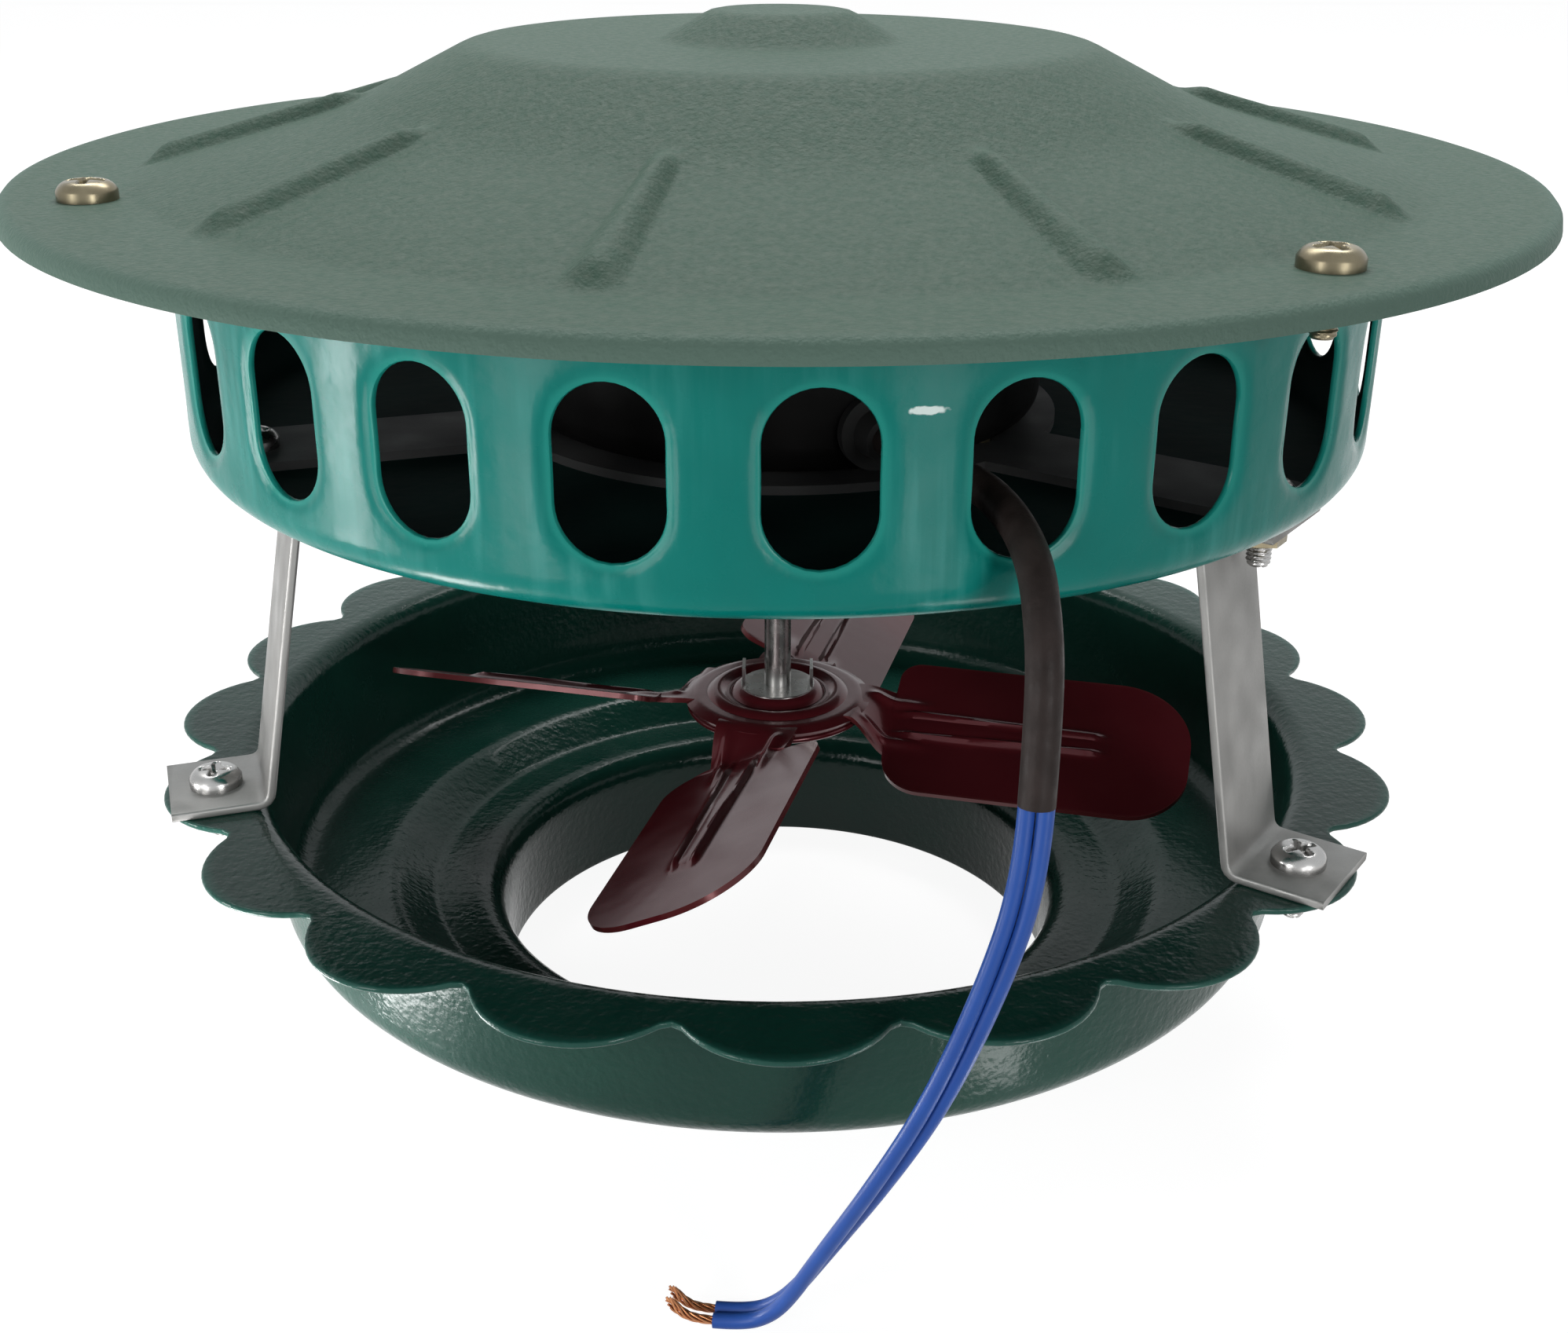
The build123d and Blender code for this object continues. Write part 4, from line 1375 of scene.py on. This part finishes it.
    def _half_width(self, radius: np.ndarray, shoulder: float, tip: float) -> np.ndarray:
        """Takes the neck, then a quarter circle out to full chord, and a quarter circle in at the tip.

        Args:
            radius: Radii of the chord lines.
            shoulder: Radius of the quarter circle at the neck.
            tip: Radius of the quarter circle at the tip.

        Returns:
            Half width at each radius.
        """
        half = self.chord / 2
        into = np.clip(self.shoulder + shoulder - radius, 0.0, shoulder)
        root = half - shoulder + np.sqrt(np.maximum(shoulder**2 - into**2, 0.0))
        into = np.clip(radius - (self.tip - tip), 0.0, tip)
        width = root - tip + np.sqrt(np.maximum(tip**2 - into**2, 0.0))
        return np.where(radius < self.shoulder, self.neck_half, width)

    def _blade_rim(self, columns: int) -> np.ndarray:
        """Marks the paddle's two long edges as rims."""
        place = np.arange(columns) % (columns // 2)
        return (((place == 0) | (place == columns // 2 - 1)) * self.edge_tint)[None, :]


@dataclass
class ScrewRow:
    """Pan-head screws of one kind: low head with a cross recess and a threaded shank."""

    node: str
    fronts: tuple[float, ...]
    place: float
    finish: Finish
    head_radius: float = 4.5
    head_height: float = 3.0
    shank: float = 2.0
    thread_pitch: float = 0.7
    thread_depth: float = 0.28
    edge_drop: float = 1.4
    edge_power: int = 6
    crown_drop: float = 0.25
    crown_power: int = 2
    recess_reach: float = 3.0
    recess_half: float = 0.62
    recess_depth: float = 1.5
    recess_wall: tuple[float, float] = (0.6, 1.3)
    recess_end_share: float = 0.55
    first_turn: float = 20.0
    turn_step: float = 37.0
    head_rows: int = 26
    head_column_angle: float = 5.0
    shank_column_angle: float = 20.0
    rows_per_thread: int = 6
    lead_in: float = 0.8
    lead_in_share: float = 0.18

    def build(self) -> bpy.types.Object:
        """Makes every screw of the row in one piece.

        Returns:
            The row's piece.
        """
        low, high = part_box(self.node)
        top, foot = high[2] / MM, low[2] / MM
        surface = Surface(f"{self.node}_detail")
        for number, front in enumerate(self.fronts):
            centre = polar(np.array(self.place), np.array(radians(front)), np.array(0.0))
            turn = self.first_turn + self.turn_step * number
            surface.grid(self._head(top, turn) + centre, close_columns=True)
            surface.grid(self._thread(top - self.head_height, foot) + centre, close_columns=True)
        return surface.make(HOUSING, self.finish, self.node)

    def _head(self, top: float, turn: float) -> np.ndarray:
        """Drops the top with powers of the radius, presses a cross into it and adds side and underside.

        Args:
            top: Height of the head's top.
            turn: Turn of the cross in degrees.

        Returns:
            Grid of the head about the axis.
        """
        angle = np.radians(np.arange(0.0, 360.0, self.head_column_angle))[None, :]
        radius = np.linspace(0.0, 1.0, self.head_rows)[:, None]
        flat = self.head_radius * radius
        x, y = flat * np.cos(angle), flat * np.sin(angle)
        dome = top - self.edge_drop * radius**self.edge_power - self.crown_drop * radius**self.crown_power
        slim = np.minimum(np.abs(x), np.abs(y))
        reach = np.maximum(np.abs(x), np.abs(y))
        cross = 1.0 - smooth_step(*(self.recess_half * share for share in self.recess_wall), slim)
        end_start = self.recess_reach * self.recess_end_share
        cross = cross * (1.0 - smooth_step(end_start, self.recess_reach, reach))
        z = dome - self.recess_depth * cross
        seat = top - self.head_height
        rows = [np.stack([x, y, z], -1)]
        for size in (self.head_radius, 0.0):
            rows.append(polar(np.array(size), angle + np.pi / 2, np.array(seat)))
        return turned(np.concatenate(rows), turn + 90.0)

    def _thread(self, seat: float, foot: float) -> np.ndarray:
        """Swings the shank's radius with height minus angle, so that the crest runs as a helix.

        Args:
            seat: Height of the head's underside.
            foot: Height of the shank's end.

        Returns:
            Grid of the shank about the axis.
        """
        angle = np.radians(np.arange(0.0, 360.0, self.shank_column_angle))[None, :]
        count = int((seat - foot) / self.thread_pitch * self.rows_per_thread)
        height = np.linspace(seat, foot, count)[:, None]
        phase = (height / self.thread_pitch - angle / (2.0 * np.pi)) % 1.0
        swing = np.abs(2.0 * phase - 1.0)
        taper = smooth_step(0.0, self.lead_in, height - foot)
        radius = (self.shank - self.thread_depth * swing) * (1.0 - self.lead_in_share * (1.0 - taper))
        start = polar(np.array(0.0), angle, np.array(seat))
        end = polar(np.array(0.0), angle, np.array(foot))
        return np.concatenate([start, polar(radius, angle, height), end])


SCREW_ROWS = (
    ScrewRow("cap_screws", fronts=(39.5, 165.5, -67.5), place=111.5, finish=Finishes.ZINC),
    ScrewRow("leg_foot_screws", fronts=StrapLegs.fronts, place=104.0, finish=Finishes.BRIGHT),
    ScrewRow("leg_top_screws", fronts=StrapLegs.fronts, place=91.5, finish=Finishes.BRIGHT),
)


# Cords

SLEEVE_ROUTE: list[Point] = [
    (16.9, -49.21, 124.3),
    (22.08, -64.31, 124.3),
    (27.9, -81.3, 128.6),
    (33.2, -98.6, 126.0),
    (34.3, -108.2, 116.5),
    (34.1, -112.2, 105.5),
    (33.7, -113.8, 95.5),
]
LEAD_ROUTE: list[Point] = [
    (33.7, -113.8, 95.5),
    (33.3, -115.4, 85.5),
    (29.2, -117.0, 70.5),
    (22.5, -117.8, 52.5),
    (15.4, -115.2, 36.5),
    (7.2, -110.0, 18.5),
    (2.9, -106.8, 8.4),
    (-0.6, -104.8, 3.2),
    (-4.8, -103.9, 1.4),
    (-8.9, -103.3, 1.25),
]
LEAD_SPREAD_ANGLES = (-14.0, -14.0, 0.0, 15.0, 30.0, 50.0, 65.0, 75.0, 82.0, 82.0)
STRAND_STEPS: list[Point] = [(-2.9, 0.42, -0.1), (-2.6, 0.6, 1.1), (-1.7, 0.45, 2.1)]


def route_curve(name: str, route: np.ndarray, diameter: float) -> bpy.types.Object:
    """Smooth curve with the route's points as control points.

    Args:
        name: Name of the piece.
        route: Control points in millimetres.
        diameter: Cord diameter in millimetres, or 0 for a bare line.

    Returns:
        The curve object.
    """
    curve = bpy.data.curves.new(name, "CURVE")
    curve.dimensions = "3D"
    curve.resolution_u = 16
    curve.bevel_depth = diameter * MM / 2
    curve.bevel_resolution = 6
    curve.use_fill_caps = True
    spline = curve.splines.new("NURBS")
    spline.points.add(len(route) - 1)
    weights = np.ones((len(route), 1))
    spline.points.foreach_set("co", np.hstack([np.asarray(route) * MM, weights]).ravel())
    spline.order_u = 3
    spline.use_endpoint_u = True
    piece = bpy.data.objects.new(name, curve)
    bpy.context.scene.collection.objects.link(piece)
    return piece


@dataclass
class Cable:
    """Sleeve out of the drum, two blue leads and their bare strand ends."""

    sleeve_diameter: float = 5.0
    lead_diameter: float = 2.4
    strand_diameter: float = 1.4
    lead_spread: float = 1.23
    wire_count: int = 7
    wire_diameter: float = 0.42
    wire_column_angle: float = 45.0
    wire_turns: float = 0.8
    wire_flare: float = 0.5
    wire_flare_steps: int = 5
    wire_flare_stride: int = 3
    wire_trim_steps: int = 7
    wire_trim_stride: int = 2
    wire_point_gap: float = 0.25
    far_end: str = "bare"
    stiffness: str = "medium"
    lay: str = "hanging"

    def build(self) -> None:
        sleeve = route_curve("sleeve_cord", np.array(SLEEVE_ROUTE), self.sleeve_diameter)
        sleeve.data.materials.append(Finishes.SLEEVE.material())
        self._declare(sleeve, "cable_sleeve")
        angle = np.radians(LEAD_SPREAD_ANGLES)
        spread = self.lead_spread * np.stack([np.cos(angle), np.sin(angle), np.zeros_like(angle)], -1)
        steps = np.cumsum(STRAND_STEPS, axis=0)
        for number, side in ((1, -1.0), (2, 1.0)):
            route = np.array(LEAD_ROUTE) + side * spread
            lead = route_curve(f"blue_cord_{number}", route, self.lead_diameter)
            lead.data.materials.append(Finishes.LEAD.material())
            strands = self._strands(number, np.vstack([route[-1:], route[-1] + steps]))
            self._declare(lead, f"blue_lead_{number}")

    def _declare(self, piece: bpy.types.Object, node: str) -> None:
        """Sets a cord on the housing, in place of its node, and logs its length.

        Args:
            piece: The cord's curve.
            node: Node that it stands for.
        """
        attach(piece, HOUSING)
        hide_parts(node)
        length = self._length(piece)
        log.info("%s: %.1f mm long", piece.name, length / MM)

    def _line(self, piece: bpy.types.Object) -> np.ndarray:
        """Reads a cord's own spline from a copy without thickness.

        Args:
            piece: The cord's curve.

        Returns:
            Points along the spline, in metres.
        """
        bare = piece.copy()
        bare.data = piece.data.copy()
        bare.data.bevel_depth = 0.0
        mesh = bpy.data.meshes.new_from_object(bare)
        points = np.empty(len(mesh.vertices) * 3)
        mesh.vertices.foreach_get("co", points)
        curve = bare.data
        bpy.data.objects.remove(bare)
        bpy.data.curves.remove(curve)
        bpy.data.meshes.remove(mesh)
        return points.reshape(-1, 3)

    def _length(self, piece: bpy.types.Object) -> float:
        """Length of a cord's own spline, in metres."""
        return float(np.linalg.norm(np.diff(self._line(piece), axis=0), axis=1).sum())

    def _strands(self, number: int, route: np.ndarray) -> bpy.types.Object:
        """Twists wires round the route's line: each is a small tube whose centre turns about the line.

        Args:
            number: Number of the lead.
            route: Control points of the line in millimetres.

        Returns:
            The strands' piece.
        """
        guide = route_curve(f"strand_guide_{number}", route, 0.0)
        line = resampled(self._line(guide) / MM, self.wire_point_gap)
        curve = guide.data
        bpy.data.objects.remove(guide)
        bpy.data.curves.remove(curve)
        ahead = directions(line)
        side = np.cross(ahead, np.array([0.0, 1.0, 0.0]))
        side = side / np.linalg.norm(side, axis=1, keepdims=True)
        other = np.cross(ahead, side)
        share = np.linspace(0.0, 1.0, len(line))[:, None]
        surface = Surface(f"strand_ends_{number}")
        ring = np.radians(np.arange(0.0, 360.0, self.wire_column_angle))[None, :, None]
        tube = self.wire_diameter / 2 * (np.cos(ring) * side[:, None] + np.sin(ring) * other[:, None])
        for wire in range(self.wire_count):
            outer = 0.0 if wire == 0 else (self.strand_diameter - self.wire_diameter) / 2
            turn = 2.0 * np.pi * (wire / (self.wire_count - 1) + self.wire_turns * share)
            flare_step = (wire * self.wire_flare_stride) % self.wire_flare_steps / self.wire_flare_steps
            flare = 1.0 + self.wire_flare * flare_step * share**2
            centre = line + outer * flare * (np.cos(turn) * side + np.sin(turn) * other)
            kept = len(line) - (wire * self.wire_trim_stride) % self.wire_trim_steps
            points = centre[:kept, None] + tube[:kept]
            surface.grid(points, close_columns=True)
            surface.cap(points[0])
            surface.cap(points[-1][::-1])
        return surface.make(HOUSING, Finishes.COPPER, f"lead_strands_{number}")


# Stage

@dataclass(frozen=True)
class Lamp:
    """A soft rectangular lamp that the camera doesn't see, in metres and watts."""

    name: str
    place: Point
    aim: Point
    width: float
    height: float
    power: float

    def build(self) -> None:
        """Places the lamp and turns it to its aim."""
        light = bpy.data.lights.new(self.name, "AREA")
        light.shape = "RECTANGLE"
        light.size = self.width
        light.size_y = self.height
        light.energy = self.power
        lamp = bpy.data.objects.new(self.name, light)
        turn = (Vector(self.aim) - Vector(self.place)).to_track_quat("-Z", "Y").to_matrix().to_4x4()
        lamp.matrix_world = Matrix.Translation(self.place) @ turn
        lamp.visible_camera = False
        bpy.context.scene.collection.objects.link(lamp)


LAMPS = (
    Lamp("left_window", (-0.75, -0.85, 0.35), (0.0, -0.05, 0.1), 0.3, 0.6, 3.6),
    Lamp("right_window", (0.6, -1.0, 0.3), (0.05, -0.05, 0.1), 0.25, 0.5, 4.0),
    Lamp("low_left_strip", (-0.3, -0.108, 0.065), (-0.068, -0.078, 0.13), 0.045, 0.11, 0.3),
    Lamp("low_middle_strip", (-0.21, -0.275, 0.07), (-0.04, -0.095, 0.13), 0.06, 0.1, 0.13),
    Lamp("low_right_strip", (0.115, -0.285, 0.075), (0.025, -0.1, 0.13), 0.05, 0.1, 0.055),
    Lamp("foot_left_strip", (-0.115, -0.083, 0.012), (-0.055, -0.079, 0.045), 0.04, 0.03, 0.085),
    Lamp("foot_right_strip", (0.066, -0.117, 0.012), (0.033, -0.09, 0.038), 0.02, 0.025, 0.013),
    Lamp("back_window", (0.0, 0.65, 1.25), (0.0, 0.0, 0.15), 1.4, 0.4, 19.0),
)


@dataclass
class Studio:
    """Plain pale floor, soft light and the camera at the photograph's angle."""

    camera_place: Point = (1.2, -327.0, 209.5)
    camera_pitch: float = 23.92
    camera_roll: float = 0.32
    lens: float = 43.15
    sensor: float = 36.0
    clip_start: float = 0.01
    floor_reach: float = 6.0
    floor_grey: Colour = (0.2, 0.2, 0.2)
    floor_roughness: float = 0.9
    floor_specular: float = 0.1
    floor_glow: float = 0.92
    world_colour: Colour = (0.95, 0.98, 1.0)
    world_fill: float = 0.17
    world_white: float = 1.0

    def build(self) -> None:
        """Makes floor, world, lamps and camera."""
        scene = bpy.context.scene
        scene.view_settings.view_transform = "Standard"
        self._floor()
        self._world(scene)
        for lamp in LAMPS:
            lamp.build()
        self._camera(scene)

    def _floor(self) -> None:
        """Makes a plain floor, pale to the camera and in reflections, that keeps the object's shadow."""
        edge = np.array([-self.floor_reach, 0.0, self.floor_reach])
        x, y = np.meshgrid(edge, edge)
        mesh = bpy.data.meshes.new("floor")
        points = np.stack([x, y, np.zeros_like(x)], -1).reshape(-1, 3)
        quads = grid_quads(*x.shape, close_rows=False, close_columns=False)
        mesh.from_pydata(points.tolist(), [], quads.tolist())
        floor = bpy.data.objects.new("floor", mesh)
        bpy.context.scene.collection.objects.link(floor)
        material = bpy.data.materials.new("pale_floor")
        material.use_nodes = True
        tree = material.node_tree
        shader = tree.nodes["Principled BSDF"]
        shader.inputs["Base Color"].default_value = (*self.floor_grey, 1)
        shader.inputs["Roughness"].default_value = self.floor_roughness
        shader.inputs["Specular IOR Level"].default_value = self.floor_specular
        glow = tree.nodes.new("ShaderNodeMath")
        glow.operation = "MULTIPLY"
        glow.inputs[1].default_value = self.floor_glow
        tree.links.new(self._seen(tree), glow.inputs[0])
        shader.inputs["Emission Color"].default_value = (1, 1, 1, 1)
        tree.links.new(glow.outputs[0], shader.inputs["Emission Strength"])
        mesh.materials.append(material)

    @staticmethod
    def _seen(tree: bpy.types.NodeTree) -> bpy.types.NodeSocket:
        """Marks the rays that see the pale backdrop.

        Args:
            tree: Node tree of the floor or the world.

        Returns:
            Socket that is 1 on camera, glossy and transmission rays.
        """
        path = tree.nodes.new("ShaderNodeLightPath")
        seen = path.outputs["Is Camera Ray"]
        for ray in ("Is Glossy Ray", "Is Transmission Ray"):
            either = tree.nodes.new("ShaderNodeMath")
            either.operation = "MAXIMUM"
            tree.links.new(seen, either.inputs[0])
            tree.links.new(path.outputs[ray], either.inputs[1])
            seen = either.outputs[0]
        return seen

    def _world(self, scene: bpy.types.Scene) -> None:
        """Makes even surroundings, white where the backdrop is seen and dim as a light.

        Args:
            scene: Scene that takes the world.
        """
        world = bpy.data.worlds.new("studio")
        world.use_nodes = True
        tree = world.node_tree
        background = tree.nodes["Background"]
        background.inputs["Color"].default_value = (*self.world_colour, 1)
        strength = tree.nodes.new("ShaderNodeMapRange")
        strength.inputs["To Min"].default_value = self.world_fill
        strength.inputs["To Max"].default_value = self.world_white
        tree.links.new(self._seen(tree), strength.inputs["Value"])
        tree.links.new(strength.outputs["Result"], background.inputs["Strength"])
        scene.world = world

    def _camera(self, scene: bpy.types.Scene) -> None:
        """Sets the camera at the photograph's place, tilted down and slightly rolled.

        Args:
            scene: Scene that takes the camera.
        """
        camera = bpy.data.cameras.new("camera")
        camera.sensor_width = self.sensor
        camera.lens = self.lens
        camera.clip_start = self.clip_start
        holder = bpy.data.objects.new("camera", camera)
        tilt = Matrix.Rotation(radians(90.0 - self.camera_pitch), 4, "X")
        roll = Matrix.Rotation(radians(self.camera_roll), 4, "Z")
        holder.matrix_world = Matrix.Translation(Vector(self.camera_place) * MM) @ tilt @ roll
        scene.collection.objects.link(holder)
        scene.camera = holder


def main() -> None:
    """Builds the fan's pieces in order."""
    logging.basicConfig(level=logging.INFO, format="%(name)s %(message)s")
    Studio().build()
    Cable().build()
    dress_nodes()
    RainCap().build()
    BasePan().build()
    MotorDrum().build()
    StrapLegs().build()
    PaddleFan().build()
    for row in SCREW_ROWS:
        row.build()


if __name__ == "__main__":
    main()
